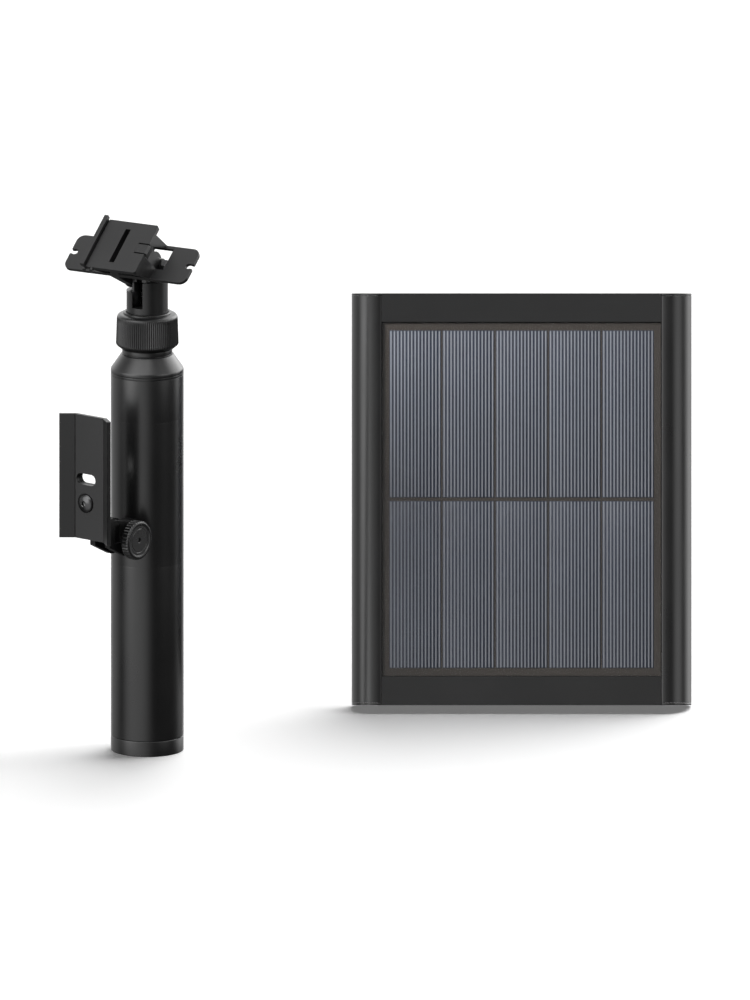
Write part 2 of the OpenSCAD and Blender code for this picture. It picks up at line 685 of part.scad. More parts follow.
module board_components() color("#111111") place_panel() translate([inlet_x, -back_t - 3, inlet_z]) {
    translate([10, -3.2, -8]) cube([7, 3.2, 7]);
    translate([20, -2.2, 2]) cube([5, 2.2, 4]);
    translate([14, -4, 8]) rotate([-90, 0, 0]) cylinder(r = 2.6, h = 4);
}

module cable_inlet() color("#1c1c1d") place_panel() translate([inlet_x, 0, inlet_z]) rotate([-90, 0, 0]) difference() {
    union() {
        translate([0, 0, seat]) cylinder(r = inlet_r + 1.5, h = 1.5);
        translate([0, 0, -back_t]) cylinder(r = inlet_r - seat, h = back_t + inlet_len - 2);
    }
    translate([0, 0, inlet_len - 2 - inlet_len]) cylinder(r = inlet_bore_r, h = inlet_len + 1);
}

module inlet_seal() color("#0f0f10") place_panel() translate([inlet_x, 0, inlet_z]) rotate([-90, 0, 0])
    translate([0, 0, 1.5 + 2 * seat]) tube(inlet_r + 1.2, inlet_r + seat, 2.4);

module back_cover() color("#262627") place_panel() difference() {
    translate([-rail_in - 2 + seat, -back_t, 0]) cube([2 * (rail_in + 2 - seat), back_t, panel_h]);
    translate([inlet_x, -back_t - 1, inlet_z]) rotate([-90, 0, 0]) cylinder(r = inlet_r, h = back_t + 2);
    for (x = [-1, 1], z = [bar_h / 2 - 3, panel_h - bar_h / 2 + 3])
        translate([x * back_screw_inset, -back_t - 1, z]) rotate([-90, 0, 0]) cylinder(r = 1.6, h = back_t + 2);
}

module back_cover_screws() color("#1f1f20") place_panel() for (x = [-1, 1], z = [bar_h / 2 - 3, panel_h - bar_h / 2 + 3])
    translate([x * back_screw_inset, 0, z]) rotate([-90, 0, 0]) {
        translate([0, 0, -8]) cylinder(r = 1.3 - seat, h = 8 + seat);
        translate([0, 0, seat]) cylinder(r = 2.8, h = 1.4);
    }

// Tray on the back that takes the slide plate: it hooks under one edge and the barb clicks into the other
module mount_receiver() color("#242425") place_panel() translate([0, 0, receiver_z]) {
    cavity = slide_w + 2 * receiver_clear;
    difference() {
        union() {
            translate([0, seat, 0]) rotate([-90, 0, 0]) linear_extrude(receiver_depth)
                polygon(rounded(cavity + 2 * receiver_wall, cavity + 2 * receiver_wall, 3));
            translate([-cavity / 2 - receiver_wall, seat, -receiver_hook_h / 2])
                cube([receiver_wall + receiver_lip, receiver_t, receiver_hook_h]);
            for (s = [-1, 1]) translate([0, seat, s * (cavity / 2 + receiver_wall)]) rotate([-90, 0, 0])
                linear_extrude(receiver_foot_t) polygon(rounded(14, 12, 3));
        }
        translate([-cavity / 2, -1, -cavity / 2]) cube([cavity, receiver_depth + 1 + seat, cavity]);
        translate([cavity / 2 - 1, receiver_depth - 2.6, -tab_w / 2 - 0.5]) cube([2, 1.8, tab_w + 1]);
        for (s = [-1, 1]) translate([0, -1, s * (cavity / 2 + receiver_wall + 3)]) rotate([-90, 0, 0])
            cylinder(r = 1.4, h = 40);
    }
}

module receiver_screws() color("#1f1f20") place_panel() for (s = [-1, 1])
    translate([0, receiver_foot_t + 2 * seat, receiver_z + s * (slide_w / 2 + receiver_clear + receiver_wall + 3)])
        rotate([-90, 0, 0]) {
            translate([0, 0, -receiver_foot_t]) cylinder(r = 1.4 - seat, h = receiver_foot_t);
            cylinder(r = 2.5, h = 1.3);
        }

pole_tube();
pole_coupler();
shoulder_cap();
neck_collet();
hinge_block();
hinge_through_bolts();
bolt_saddle_washers();
lock_collar();
neck_fork();
neck_retaining_clip();
detent_spring();
detent_plunger();
head_pivot_bolt();
head_pivot_nut();
head_bracket();
slide_plate();
latch_tab();
camera_plate();
bracket_yoke();
camera_plate_screw();
camera_plate_nut();
hinge_bolt();
hinge_washers();
thumb_knob();
knob_insert();
rail_left();
rail_right();
rail_end_caps();
frame_bar_top();
frame_bar_bottom();
frame_screws();
cover_glass();
cells_upper_row();
cells_lower_row();
cell_board();
glass_seal();
junction_board();
board_components();
cable_inlet();
inlet_seal();
back_cover();
back_cover_screws();
mount_receiver();
receiver_screws();
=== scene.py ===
import bpy
import bmesh
import json
import math
from mathutils import Matrix, Vector


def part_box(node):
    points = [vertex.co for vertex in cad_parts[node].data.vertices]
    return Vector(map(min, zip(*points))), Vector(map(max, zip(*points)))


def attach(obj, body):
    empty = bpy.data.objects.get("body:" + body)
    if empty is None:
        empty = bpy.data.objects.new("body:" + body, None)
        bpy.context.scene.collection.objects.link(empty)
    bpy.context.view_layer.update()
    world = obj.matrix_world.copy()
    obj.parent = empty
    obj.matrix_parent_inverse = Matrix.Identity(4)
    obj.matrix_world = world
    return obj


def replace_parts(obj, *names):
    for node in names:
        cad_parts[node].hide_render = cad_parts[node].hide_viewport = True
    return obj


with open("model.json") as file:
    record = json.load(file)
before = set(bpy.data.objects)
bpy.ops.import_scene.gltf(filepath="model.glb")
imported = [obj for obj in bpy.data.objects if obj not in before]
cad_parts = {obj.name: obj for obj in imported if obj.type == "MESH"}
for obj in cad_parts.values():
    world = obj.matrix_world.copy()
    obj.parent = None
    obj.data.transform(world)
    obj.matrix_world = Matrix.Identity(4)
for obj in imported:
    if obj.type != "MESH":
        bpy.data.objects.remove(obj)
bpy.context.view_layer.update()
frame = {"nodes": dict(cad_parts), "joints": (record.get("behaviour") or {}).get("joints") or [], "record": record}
nodes = frame["nodes"]
joints = {joint["name"]: joint for joint in frame["joints"]}
mounts = {mount["name"]: mount for mount in frame["record"]["mounts"]}
mm = 0.001
upward = Vector((0, 0, 1))
print("frame loaded:", len(nodes), "nodes")


# frames of the tilted head and the leaning panel, taken from the joints and mounts

def axesAt(origin, xDir, yDir, zDir):
    matrix = Matrix((xDir, yDir, zDir)).transposed().to_4x4()
    matrix.translation = origin
    return matrix


def turnedTo(origin, direction, spin=0.0):
    zDir = Vector(direction).normalized()
    xDir = upward.cross(zDir) if abs(zDir.z) < 0.9 else Vector((1, 0, 0)).cross(zDir)
    xDir.normalize()
    return axesAt(Vector(origin), xDir, zDir.cross(xDir), zDir) @ Matrix.Rotation(spin, 4, "Z")


panelSet = {"receiverDepth": 4.2 * mm, "receiverHeight": 118 * mm, "width": 170 * mm, "height": 206 * mm,
            "thickness": 20 * mm}
backDir = Vector(mounts["panel_receiver"]["axis"])
acrossDir = backDir.cross(upward).normalized()
risingDir = acrossDir.cross(backDir)
panelOrigin = (Vector(mounts["panel_receiver"]["pos_m"]) - backDir * panelSet["receiverDepth"]
               - risingDir * panelSet["receiverHeight"])
panelFrame = axesAt(panelOrigin, acrossDir, backDir, risingDir)
neckTurn = math.atan2(joints["head_tilt"]["axis"][1], joints["head_tilt"]["axis"][0])
neckFrame = Matrix.Rotation(neckTurn, 4, "Z")
pivotPoint = Vector(joints["head_tilt"]["pos_m"])
hingePoint = Vector(joints["bracket_fold"]["pos_m"])


# mesh helpers

def link(obj):
    bpy.context.scene.collection.objects.link(obj)
    return obj


def meshFrom(name, points, faces, matrix=None):
    mesh = bpy.data.meshes.new(name)
    if matrix is not None:
        points = [matrix @ Vector(p) for p in points]
    mesh.from_pydata([tuple(p) for p in points], [], faces)
    mesh.validate()
    work = bmesh.new()
    work.from_mesh(mesh)
    bmesh.ops.recalc_face_normals(work, faces=work.faces)
    work.to_mesh(mesh)
    work.free()
    return link(bpy.data.objects.new(name, mesh))


def smoothShade(obj, angle=32):
    obj.data.shade_smooth()
    obj.data.set_sharp_from_angle(angle=math.radians(angle))
    return obj


def bakeModifiers(obj):
    graph = bpy.context.evaluated_depsgraph_get()
    mesh = bpy.data.meshes.new_from_object(obj.evaluated_get(graph))
    obj.modifiers.clear()
    obj.data = mesh
    return obj


def softEdges(obj, width, segments=2, angle=30):
    bevel = obj.modifiers.new("softEdges", "BEVEL")
    bevel.width = width
    bevel.segments = segments
    bevel.limit_method = "ANGLE"
    bevel.angle_limit = math.radians(angle)
    bevel.use_clamp_overlap = True
    return bakeModifiers(obj)


def dress(obj, body, slotName, material, *replaced):
    obj.data.materials.clear()
    obj.data.materials.append(material)
    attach(obj, body)
    if replaced:
        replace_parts(obj, *replaced)
    return obj


def refined(node, pieceName, width, segments=2, angle=30, cuts=()):
    mesh = nodes[node].data.copy()
    for layer in ("custom_normal", "sharp_edge", "sharp_face"):
        if layer in mesh.attributes:
            mesh.attributes.remove(mesh.attributes[layer])
    work = bmesh.new()
    work.from_mesh(mesh)
    bmesh.ops.remove_doubles(work, verts=work.verts, dist=2e-6)
    bmesh.ops.dissolve_limit(work, angle_limit=math.radians(0.6), verts=work.verts, edges=work.edges)
    bmesh.ops.recalc_face_normals(work, faces=work.faces)
    work.to_mesh(mesh)
    work.free()
    obj = link(bpy.data.objects.new(pieceName, mesh))
    for cutter in cuts:
        cut = obj.modifiers.new("cut", "BOOLEAN")
        cut.operation = "DIFFERENCE"
        cut.solver = "EXACT"
        cut.object = cutter
        bakeModifiers(obj)
        bpy.data.objects.remove(cutter)
    if width:
        softEdges(obj, width, segments, angle)
    smoothShade(obj)
    obj.modifiers.new("flatFaces", "WEIGHTED_NORMAL").keep_sharp = True
    return bakeModifiers(obj)


def ringStack(name, rings, segments, matrix=None, loop=False):
    # rings are (radius, height); a radius may be a function of the angle
    points, faces = [], []
    for radius, height in rings:
        for k in range(segments):
            angle = 2 * math.pi * k / segments
            r = radius(angle) if callable(radius) else radius
            points.append((r * math.cos(angle), r * math.sin(angle), height))
    count = len(rings)
    for i in range(count if loop else count - 1):
        low, high = i * segments, ((i + 1) % count) * segments
        for k in range(segments):
            n = (k + 1) % segments
            faces.append((low + k, low + n, high + n, high + k))
    if not loop:
        faces.append(tuple(reversed(range(segments))))
        faces.append(tuple(range((count - 1) * segments, count * segments)))
    return smoothShade(meshFrom(name, points, faces, matrix))


def rounded(points, radius, steps=4, loop=False):
    # swaps each corner of an outline for a short arc
    result = []
    count = len(points)
    for i, point in enumerate(points):
        here = Vector(point[:2])
        size = point[2] if len(point) > 2 else radius
        if (not loop and i in (0, count - 1)) or size == 0:
            result.append(tuple(here))
            continue
        before, after = Vector(points[i - 1][:2]), Vector(points[(i + 1) % count][:2])
        reach = min(size, (before - here).length * 0.45, (after - here).length * 0.45)
        start = here + (before - here).normalized() * reach
        end = here + (after - here).normalized() * reach
        for s in range(steps + 1):
            t = s / steps
            result.append(tuple(start.lerp(here, t).lerp(here.lerp(end, t), t)))
    return result


def hexRadius(flats):
    def radius(angle):
        return flats / 2 / math.cos((angle + math.pi / 6) % (math.pi / 3) - math.pi / 6)
    return radius


def boxPoints(x0, x1, y0, y1, z0, z1):
    return [(x, y, z) for z in (z0, z1) for y in (y0, y1) for x in (x0, x1)]


boxFaces = [(0, 2, 3, 1), (4, 5, 7, 6), (0, 1, 5, 4), (2, 6, 7, 3), (0, 4, 6, 2), (1, 3, 7, 5)]


def manyBoxes(name, boxes, matrix):
    points, faces = [], []
    for box in boxes:
        base = len(points)
        points += boxPoints(*box)
        faces += [tuple(base + i for i in face) for face in boxFaces]
    return meshFrom(name, points, faces, matrix)


def joined(name, parts):
    points, faces = [], []
    for part in parts:
        base = len(points)
        points += [v.co.copy() for v in part.data.vertices]
        faces += [tuple(base + i for i in polygon.vertices) for polygon in part.data.polygons]
        bpy.data.objects.remove(part)
    return smoothShade(meshFrom(name, points, faces))


# shader groups

def newGroup(name, inputs, outputs):
    tree = bpy.data.node_groups.new(name, "ShaderNodeTree")
    for label, kind, value in inputs:
        tree.interface.new_socket(label, in_out="INPUT", socket_type=kind).default_value = value
    for label, kind in outputs:
        tree.interface.new_socket(label, in_out="OUTPUT", socket_type=kind)
    return tree, tree.nodes.new("NodeGroupInput"), tree.nodes.new("NodeGroupOutput")


def addNode(tree, kind, place=(0, 0), **settings):
    node = tree.nodes.new(kind)
    node.location = place
    for key, value in settings.items():
        setattr(node, key, value)
    return node


def setInputs(node, **values):
    for label, value in values.items():
        node.inputs[label.replace("_", " ")].default_value = value
    return node


def mathNode(tree, operation, a, b, clamp=False):
    node = addNode(tree, "ShaderNodeMath", operation=operation, use_clamp=clamp)
    for socket, value in zip(node.inputs, (a, b)):
        if hasattr(value, "links"):
            tree.links.new(value, socket)
        else:
            socket.default_value = value
    return node.outputs[0]


floatKind, colorKind, vectorKind = "NodeSocketFloat", "NodeSocketColor", "NodeSocketVector"


def makeGrainGroup():
    # fine moulded or powder-coat grain with a slow cloudy change
    tree, entry, leave = newGroup("mouldedGrain", [("Scale", floatKind, 1.0), ("Cloud Scale", floatKind, 1.0)],
                                  [("Height", floatKind), ("Cloud", floatKind)])
    where = addNode(tree, "ShaderNodeTexCoord")
    fine = setInputs(addNode(tree, "ShaderNodeTexNoise"), Detail=3, Roughness=0.6)
    pits = addNode(tree, "ShaderNodeTexVoronoi", feature="F1")
    cloud = setInputs(addNode(tree, "ShaderNodeTexNoise"), Detail=4)
    for texture in (fine, pits, cloud):
        tree.links.new(where.outputs["Object"], texture.inputs["Vector"])
    tree.links.new(entry.outputs["Scale"], fine.inputs["Scale"])
    tree.links.new(mathNode(tree, "MULTIPLY", entry.outputs["Scale"], 0.7), pits.inputs["Scale"])
    tree.links.new(entry.outputs["Cloud Scale"], cloud.inputs["Scale"])
    height = mathNode(tree, "ADD", fine.outputs["Fac"], mathNode(tree, "MULTIPLY", pits.outputs["Distance"], 0.5))
    tree.links.new(height, leave.inputs["Height"])
    tree.links.new(cloud.outputs["Fac"], leave.inputs["Cloud"])
    return tree


def makeWearGroup():
    # rubbed edges: where the rounded normal leaves the face normal, broken up by noise
    tree, entry, leave = newGroup("rubbedEdge", [("Width", floatKind, 0.0006), ("Break Up", floatKind, 300.0)],
                                  [("Mask", floatKind)])
    bevel = addNode(tree, "ShaderNodeBevel", samples=4)
    geometry = addNode(tree, "ShaderNodeNewGeometry")
    turn = addNode(tree, "ShaderNodeVectorMath", operation="DOT_PRODUCT")
    noise = addNode(tree, "ShaderNodeTexNoise")
    where = addNode(tree, "ShaderNodeTexCoord")
    tree.links.new(entry.outputs["Width"], bevel.inputs["Radius"])
    tree.links.new(bevel.outputs["Normal"], turn.inputs[0])
    tree.links.new(geometry.outputs["Normal"], turn.inputs[1])
    tree.links.new(where.outputs["Object"], noise.inputs["Vector"])
    tree.links.new(entry.outputs["Break Up"], noise.inputs["Scale"])
    edge = setInputs(addNode(tree, "ShaderNodeMapRange"), From_Min=0.995, From_Max=0.86)
    tree.links.new(turn.outputs["Value"], edge.inputs["Value"])
    patch = setInputs(addNode(tree, "ShaderNodeMapRange"), From_Min=0.38, From_Max=0.62)
    tree.links.new(noise.outputs["Fac"], patch.inputs["Value"])
    tree.links.new(mathNode(tree, "MULTIPLY", edge.outputs["Result"], patch.outputs["Result"], True),
                   leave.inputs["Mask"])
    return tree


def makeLineGroup():
    # turned or brushed lines: noise stretched along one axis
    tree, entry, leave = newGroup("turnedLines", [("Stretch", vectorKind, (40.0, 40.0, 4000.0))],
                                  [("Height", floatKind)])
    where = addNode(tree, "ShaderNodeTexCoord")
    scale = addNode(tree, "ShaderNodeVectorMath", operation="MULTIPLY")
    noise = setInputs(addNode(tree, "ShaderNodeTexNoise"), Scale=1, Detail=2)
    tree.links.new(where.outputs["Object"], scale.inputs[0])
    tree.links.new(entry.outputs["Stretch"], scale.inputs[1])
    tree.links.new(scale.outputs["Vector"], noise.inputs["Vector"])
    tree.links.new(noise.outputs["Fac"], leave.inputs["Height"])
    return tree


grainGroup, wearGroup, lineGroup = makeGrainGroup(), makeWearGroup(), makeLineGroup()


def useGroup(tree, group, place, **values):
    return setInputs(addNode(tree, "ShaderNodeGroup", place, node_tree=group), **values)


def mixColor(tree, factor, colorA, colorB, place):
    mix = addNode(tree, "ShaderNodeMix", place, data_type="RGBA")
    tree.links.new(factor, mix.inputs["Factor"])
    for socket, value in ((mix.inputs[6], colorA), (mix.inputs[7], colorB)):
        if hasattr(value, "links"):
            tree.links.new(value, socket)
        else:
            socket.default_value = (*value, 1)
    return mix.outputs[2]


plainLook = {"metallic": 0.0, "specular": 0.5, "grainScale": 2500.0, "cloudScale": 30.0, "spread": 0.12,
             "roughSpread": 0.06, "coatRoughness": 0.1, "wearWidth": 0.0005, "wearColor": (0.12, 0.12, 0.12),
             "grainShare": 0.3, "bump": 0.2, "bumpDepth": 0.00004, "cloudRange": (0.3, 0.7)}


def surface(name, chosen):
    # one finish: base tone with clouding, rubbed edges, grain in the bump and a varied roughness
    look = {**plainLook, **chosen}
    material = bpy.data.materials.new(name)
    material.use_nodes = True
    tree = material.node_tree
    shader = setInputs(tree.nodes["Principled BSDF"], Metallic=look["metallic"], Specular_IOR_Level=look["specular"])
    if look.get("coat"):
        setInputs(shader, Coat_Weight=look["coat"], Coat_Roughness=look["coatRoughness"])
    grain = useGroup(tree, grainGroup, (-900, 0), Scale=look["grainScale"], Cloud_Scale=look["cloudScale"])
    dark, light = (tuple(c * (1 + side * look["spread"]) for c in look["color"]) for side in (-1, 1))
    color = mixColor(tree, grain.outputs["Cloud"], dark, light, (-600, 200))
    roughness = setInputs(addNode(tree, "ShaderNodeMapRange", (-600, -100)),
                          From_Min=look["cloudRange"][0], From_Max=look["cloudRange"][1],
                          To_Min=look["roughness"] - look["roughSpread"],
                          To_Max=look["roughness"] + look["roughSpread"])
    tree.links.new(grain.outputs["Cloud"], roughness.inputs["Value"])
    if look.get("wear"):
        wear = useGroup(tree, wearGroup, (-900, -300), Width=look["wearWidth"])
        amount = mathNode(tree, "MULTIPLY", wear.outputs["Mask"], look["wear"])
        color = mixColor(tree, amount, color, look["wearColor"], (-300, 200))
    tree.links.new(color, shader.inputs["Base Color"])
    tree.links.new(roughness.outputs["Result"], shader.inputs["Roughness"])
    height = grain.outputs["Height"]
    if look.get("lines"):
        lines = useGroup(tree, lineGroup, (-900, -500), Stretch=look["lines"])
        height = mathNode(tree, "ADD", mathNode(tree, "MULTIPLY", height, look["grainShare"]),
                          lines.outputs["Height"])
    bump = setInputs(addNode(tree, "ShaderNodeBump", (-300, -300)), Strength=look["bump"],
                     Distance=look["bumpDepth"])
    tree.links.new(height, bump.inputs["Height"])
    tree.links.new(bump.outputs["Normal"], shader.inputs["Normal"])
    return material


finishes = {
    "poleCoat": {"color": (0.0055, 0.0055, 0.0057), "roughness": 0.3, "roughSpread": 0.04, "grainScale": 1800,
                 "bump": 0.15},
    "capPlastic": {"color": (0.0055, 0.0055, 0.0057), "roughness": 0.32, "wear": 0.25, "wearColor": (0.06, 0.06, 0.06)},
    "collarPlastic": {"color": (0.0045, 0.0045, 0.0047), "roughness": 0.36, "bump": 0.1, "wear": 0.3,
                      "wearColor": (0.06, 0.06, 0.06)},
    "headPlastic": {"color": (0.0065, 0.0065, 0.0067), "specular": 0.42, "roughness": 0.4, "grainScale": 3000,
                    "bump": 0.3, "wear": 0.3, "wearColor": (0.07, 0.07, 0.07)},
    "bracketCoat": {"color": (0.0075, 0.0075, 0.0077), "specular": 0.42, "roughness": 0.42, "grainScale": 2200,
                    "bump": 0.3, "wear": 0.3, "wearColor": (0.07, 0.07, 0.07)},
    "bracketPlastic": {"color": (0.005, 0.005, 0.0052), "roughness": 0.24, "grainScale": 3000, "bump": 0.12,
                       "wear": 0.3, "wearColor": (0.07, 0.07, 0.07)},
    # darker, duller copy of the bracket plastic: painted shade for the dark gap between the camera plate and the knob
    "paintedShadePlastic": {"color": (0.003, 0.003, 0.0032), "specular": 0.2, "roughness": 0.5, "grainScale": 2500,
                      "bump": 0.15, "wear": 0.25, "wearColor": (0.05, 0.05, 0.05)},
    "blackScrew": {"color": (0.055, 0.055, 0.056), "metallic": 0.9, "roughness": 0.2, "roughSpread": 0.04,
                   "wear": 0.4, "wearColor": (0.25, 0.25, 0.25)},
    "zincSteel": {"color": (0.42, 0.42, 0.43), "metallic": 1.0, "roughness": 0.34, "spread": 0.06,
                  "lines": (60.0, 60.0, 5000.0), "bump": 0.15},
    "springSteel": {"color": (0.5, 0.5, 0.51), "metallic": 1.0, "roughness": 0.25, "spread": 0.05,
                    "lines": (3000.0, 3000.0, 60.0), "bump": 0.1},
    "brassTurned": {"color": (0.55, 0.38, 0.14), "metallic": 1.0, "roughness": 0.3, "spread": 0.06,
                    "lines": (60.0, 60.0, 5000.0), "bump": 0.15},
    "railPlastic": {"color": (0.0065, 0.0065, 0.0067), "roughness": 0.3, "roughSpread": 0.03, "grainScale": 2600,
                    "bump": 0.1, "wear": 0.12, "wearColor": (0.05, 0.05, 0.05)},
    "barPlastic": {"color": (0.006, 0.006, 0.0062), "specular": 0.42, "roughness": 0.42, "roughSpread": 0.03,
                   "grainScale": 2600, "bump": 0.15, "wear": 0.15, "wearColor": (0.05, 0.05, 0.05)},
    "backPlastic": {"color": (0.009, 0.009, 0.0093), "roughness": 0.5, "grainScale": 1500, "bump": 0.5,
                    "bumpDepth": 0.00008, "wear": 0.25, "wearColor": (0.06, 0.06, 0.06)},
    "laminate": {"color": (0.03, 0.025, 0.021), "roughness": 0.4, "cloudScale": 12, "coat": 0.3,
                 "coatRoughness": 0.2, "bump": 0.03},
    "sealRubber": {"color": (0.006, 0.006, 0.006), "roughness": 0.62, "grainScale": 1500, "bump": 0.3},
    "circuitGreen": {"color": (0.012, 0.09, 0.035), "roughness": 0.35, "coat": 0.4, "lines": (900.0, 900.0, 900.0)},
    "componentBlack": {"color": (0.02, 0.02, 0.021), "roughness": 0.45, "wear": 0.2},
}
materials = {name: surface(name, look) for name, look in finishes.items()}
print("finishes made:", len(materials))


def siliconMaterial(look):
    # near-black blue with a soft crystal mottling under the glass
    material = surface("siliconCell", look)
    tree = material.node_tree
    shader = tree.nodes["Principled BSDF"]
    where = addNode(tree, "ShaderNodeTexCoord", (-1200, 500))
    crystal = setInputs(addNode(tree, "ShaderNodeTexVoronoi", (-1000, 500), feature="F1"), Scale=look["crystalScale"])
    tree.links.new(where.outputs["Object"], crystal.inputs["Vector"])
    shade = addNode(tree, "ShaderNodeSeparateColor", (-800, 500))
    tree.links.new(crystal.outputs["Color"], shade.inputs["Color"])
    base = shader.inputs["Base Color"].links[0].from_socket
    tree.links.new(mixColor(tree, mathNode(tree, "MULTIPLY", shade.outputs[0], look["crystalMix"]), base,
                            look["crystalColor"], (-150, 400)), shader.inputs["Base Color"])
    return material


siliconSet = {"color": (0.009, 0.0125, 0.023), "roughness": 0.45, "grainScale": 1200, "cloudScale": 9,
              "coat": 0.2, "coatRoughness": 0.2, "crystalScale": 260.0, "crystalMix": 0.3,
              "crystalColor": (0.014, 0.021, 0.04), "bump": 0.04}
materials["siliconCell"] = siliconMaterial(siliconSet)
fingerSet = {"color": (0.2, 0.21, 0.235), "metallic": 0.0, "roughness": 0.5, "spread": 0.04, "grainScale": 2000,
             "cloudScale": 14, "bump": 0.05}
materials["silverFinger"] = surface("silverFinger", fingerSet)


glassLook = {"grainScale": 900.0, "cloudScale": 16.0, "dark": (0.03, 0.032, 0.036), "light": (0.05, 0.052, 0.058),
             "Roughness": (0.10, 0.18), "Alpha": (0.06, 0.10)}


def glassMaterial(look):
    material = bpy.data.materials.new("coverGlass")
    material.use_nodes = True
    tree = material.node_tree
    shader = tree.nodes["Principled BSDF"]
    grain = useGroup(tree, grainGroup, (-800, 0), Scale=look["grainScale"], Cloud_Scale=look["cloudScale"])
    tree.links.new(mixColor(tree, grain.outputs["Cloud"], look["dark"], look["light"], (-500, 200)),
                   shader.inputs["Base Color"])
    for i, label in enumerate(("Roughness", "Alpha")):
        spread = setInputs(addNode(tree, "ShaderNodeMapRange", (-500, -100 - 200 * i)),
                           To_Min=look[label][0], To_Max=look[label][1])
        tree.links.new(grain.outputs["Cloud"], spread.inputs["Value"])
        tree.links.new(spread.outputs["Result"], shader.inputs[label])
    return material


materials["coverGlass"] = glassMaterial(glassLook)


# pole and shoulder

poleSet = {"segments": 192, "wall": 1.6 * mm, "seam": 0.25 * mm, "seamTop": 1.05 * mm, "seamFoot": 1.3 * mm,
           "bands": (97.1 * mm, 171 * mm), "bandWidth": 0.3 * mm, "bandDepth": 0.02 * mm, "corner": 0.12 * mm}
tubeLow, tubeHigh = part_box("pole_tube")
poleRadius = tubeHigh.x


def seamAt(height, s):
    return [(poleRadius, height - s["bandWidth"]), (poleRadius - s["bandDepth"], height - s["bandWidth"] / 2),
            (poleRadius - s["bandDepth"], height + s["bandWidth"] / 2), (poleRadius, height + s["bandWidth"])]


def tubeOutline(s):
    seamRadius, inside = poleRadius - s["seam"], poleRadius - s["wall"]
    points = [(poleRadius, tubeLow.z)]
    for height in s["bands"]:
        points += seamAt(height, s)
    for radius, drop in ((poleRadius, s["seamFoot"]), (seamRadius, s["seamFoot"]), (seamRadius, s["seamTop"]),
                         (poleRadius, s["seamTop"]), (poleRadius, 0), (inside, 0)):
        points.append((radius, tubeHigh.z - drop))
    return rounded(points + [(inside, tubeLow.z)], s["corner"], 3, True)


dress(ringStack("poleTube", tubeOutline(poleSet), poleSet["segments"], loop=True), "pole", "pole_coat",
      materials["poleCoat"], "pole_tube")

couplerLow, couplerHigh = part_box("pole_coupler")
socketRadius = mounts["pole_socket"]["dims"]["r_mm"] * mm
socketDepth = mounts["pole_socket"]["dims"]["length_mm"] * mm
insideRadius = poleRadius - poleSet["wall"] - 0.02 * mm
couplerSet = {"stop": 4 * mm, "gap": 0.2 * mm, "corner": 0.5 * mm}
stopRadius = socketRadius - couplerSet["stop"]
couplerRings = rounded([(poleRadius, 0), (poleRadius, tubeLow.z - couplerSet["gap"]),
                        (insideRadius, tubeLow.z - 0.02 * mm), (insideRadius, couplerHigh.z),
                        (stopRadius, couplerHigh.z), (stopRadius, socketDepth), (socketRadius, socketDepth),
                        (socketRadius, 0)], couplerSet["corner"], 4, True)
dress(ringStack("poleCoupler", couplerRings, poleSet["segments"], loop=True), "pole", "cap_plastic",
      materials["capPlastic"], "pole_coupler")

capSet = {"rim": 1.7 * mm, "cone": 7.5 * mm, "ring": 2.5 * mm, "neckBore": 10.45 * mm, "boss": 12.2 * mm,
          "groove": 0.1 * mm, "bead": 0.4 * mm, "chamfer": 0.25 * mm, "corner": 0.3 * mm}
capLow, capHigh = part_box("shoulder_cap")
rimLow = tubeHigh.z + 0.02 * mm
coneLow = tubeHigh.z + capSet["rim"]
coneHigh = coneLow + capSet["cone"]
bossLow = coneHigh + capSet["ring"]
beadRadius, grooveRadius = capSet["boss"] + capSet["bead"], capSet["boss"] - capSet["groove"]
capRings = rounded([(insideRadius, capLow.z), (insideRadius, rimLow, 0), (poleRadius - capSet["chamfer"], rimLow, 0),
                    (poleRadius, rimLow + capSet["chamfer"], 0.1 * mm), (poleRadius, coneLow, 0.9 * mm),
                    (capSet["boss"] + 0.9 * mm, coneHigh, 0.35 * mm), (grooveRadius, coneHigh, 0.3 * mm),
                    (grooveRadius, coneHigh + 0.45 * mm, 0.2 * mm), (beadRadius, coneHigh + 0.5 * mm, 0.8 * mm),
                    (beadRadius, bossLow, 0.6 * mm), (capSet["boss"], bossLow, 0), (capSet["boss"], capHigh.z),
                    (capSet["neckBore"], capHigh.z), (capSet["neckBore"], capLow.z)], capSet["corner"], 5, True)
dress(ringStack("shoulderCap", capRings, poleSet["segments"], loop=True), "pole", "cap_plastic",
      materials["capPlastic"], "shoulder_cap")


# locking collar with fine upright ribs

# foot and lip are radius, height and share of the rib depth; the lip's heights are measured from the top
collarSet = {"ribs": 90, "perRib": 8, "depth": 0.35 * mm, "taper": 0.45 * mm, "bore": 12.5 * mm,
             "neckBore": 10.7 * mm, "roof": 2 * mm, "ribFoot": 2.5 * mm, "ribLength": 12.9 * mm, "ribSteps": 14,
             "shoulder": 1.9 * mm, "shoulderRise": 2.0 * mm, "shoulderFoot": 15.6 * mm,
             "foot": ((12.7, 0.0, 0), (13.2, 0.1, 0), (15.0, 1.6, 0), (15.4, 2.0, 0.25)),
             "lip": ((12.2, 0.95), (12.0, 0.9), (11.95, 0.3), (11.7, 0.02), (11.0, 0))}
collarLow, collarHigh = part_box("lock_collar")
collarRadius = collarHigh.x


def ribbedRadius(radius, amount, count, depth):
    def at(angle):
        wave = 0.5 - 0.5 * math.cos(angle * count)
        return radius - depth * amount * wave ** 0.7
    return at


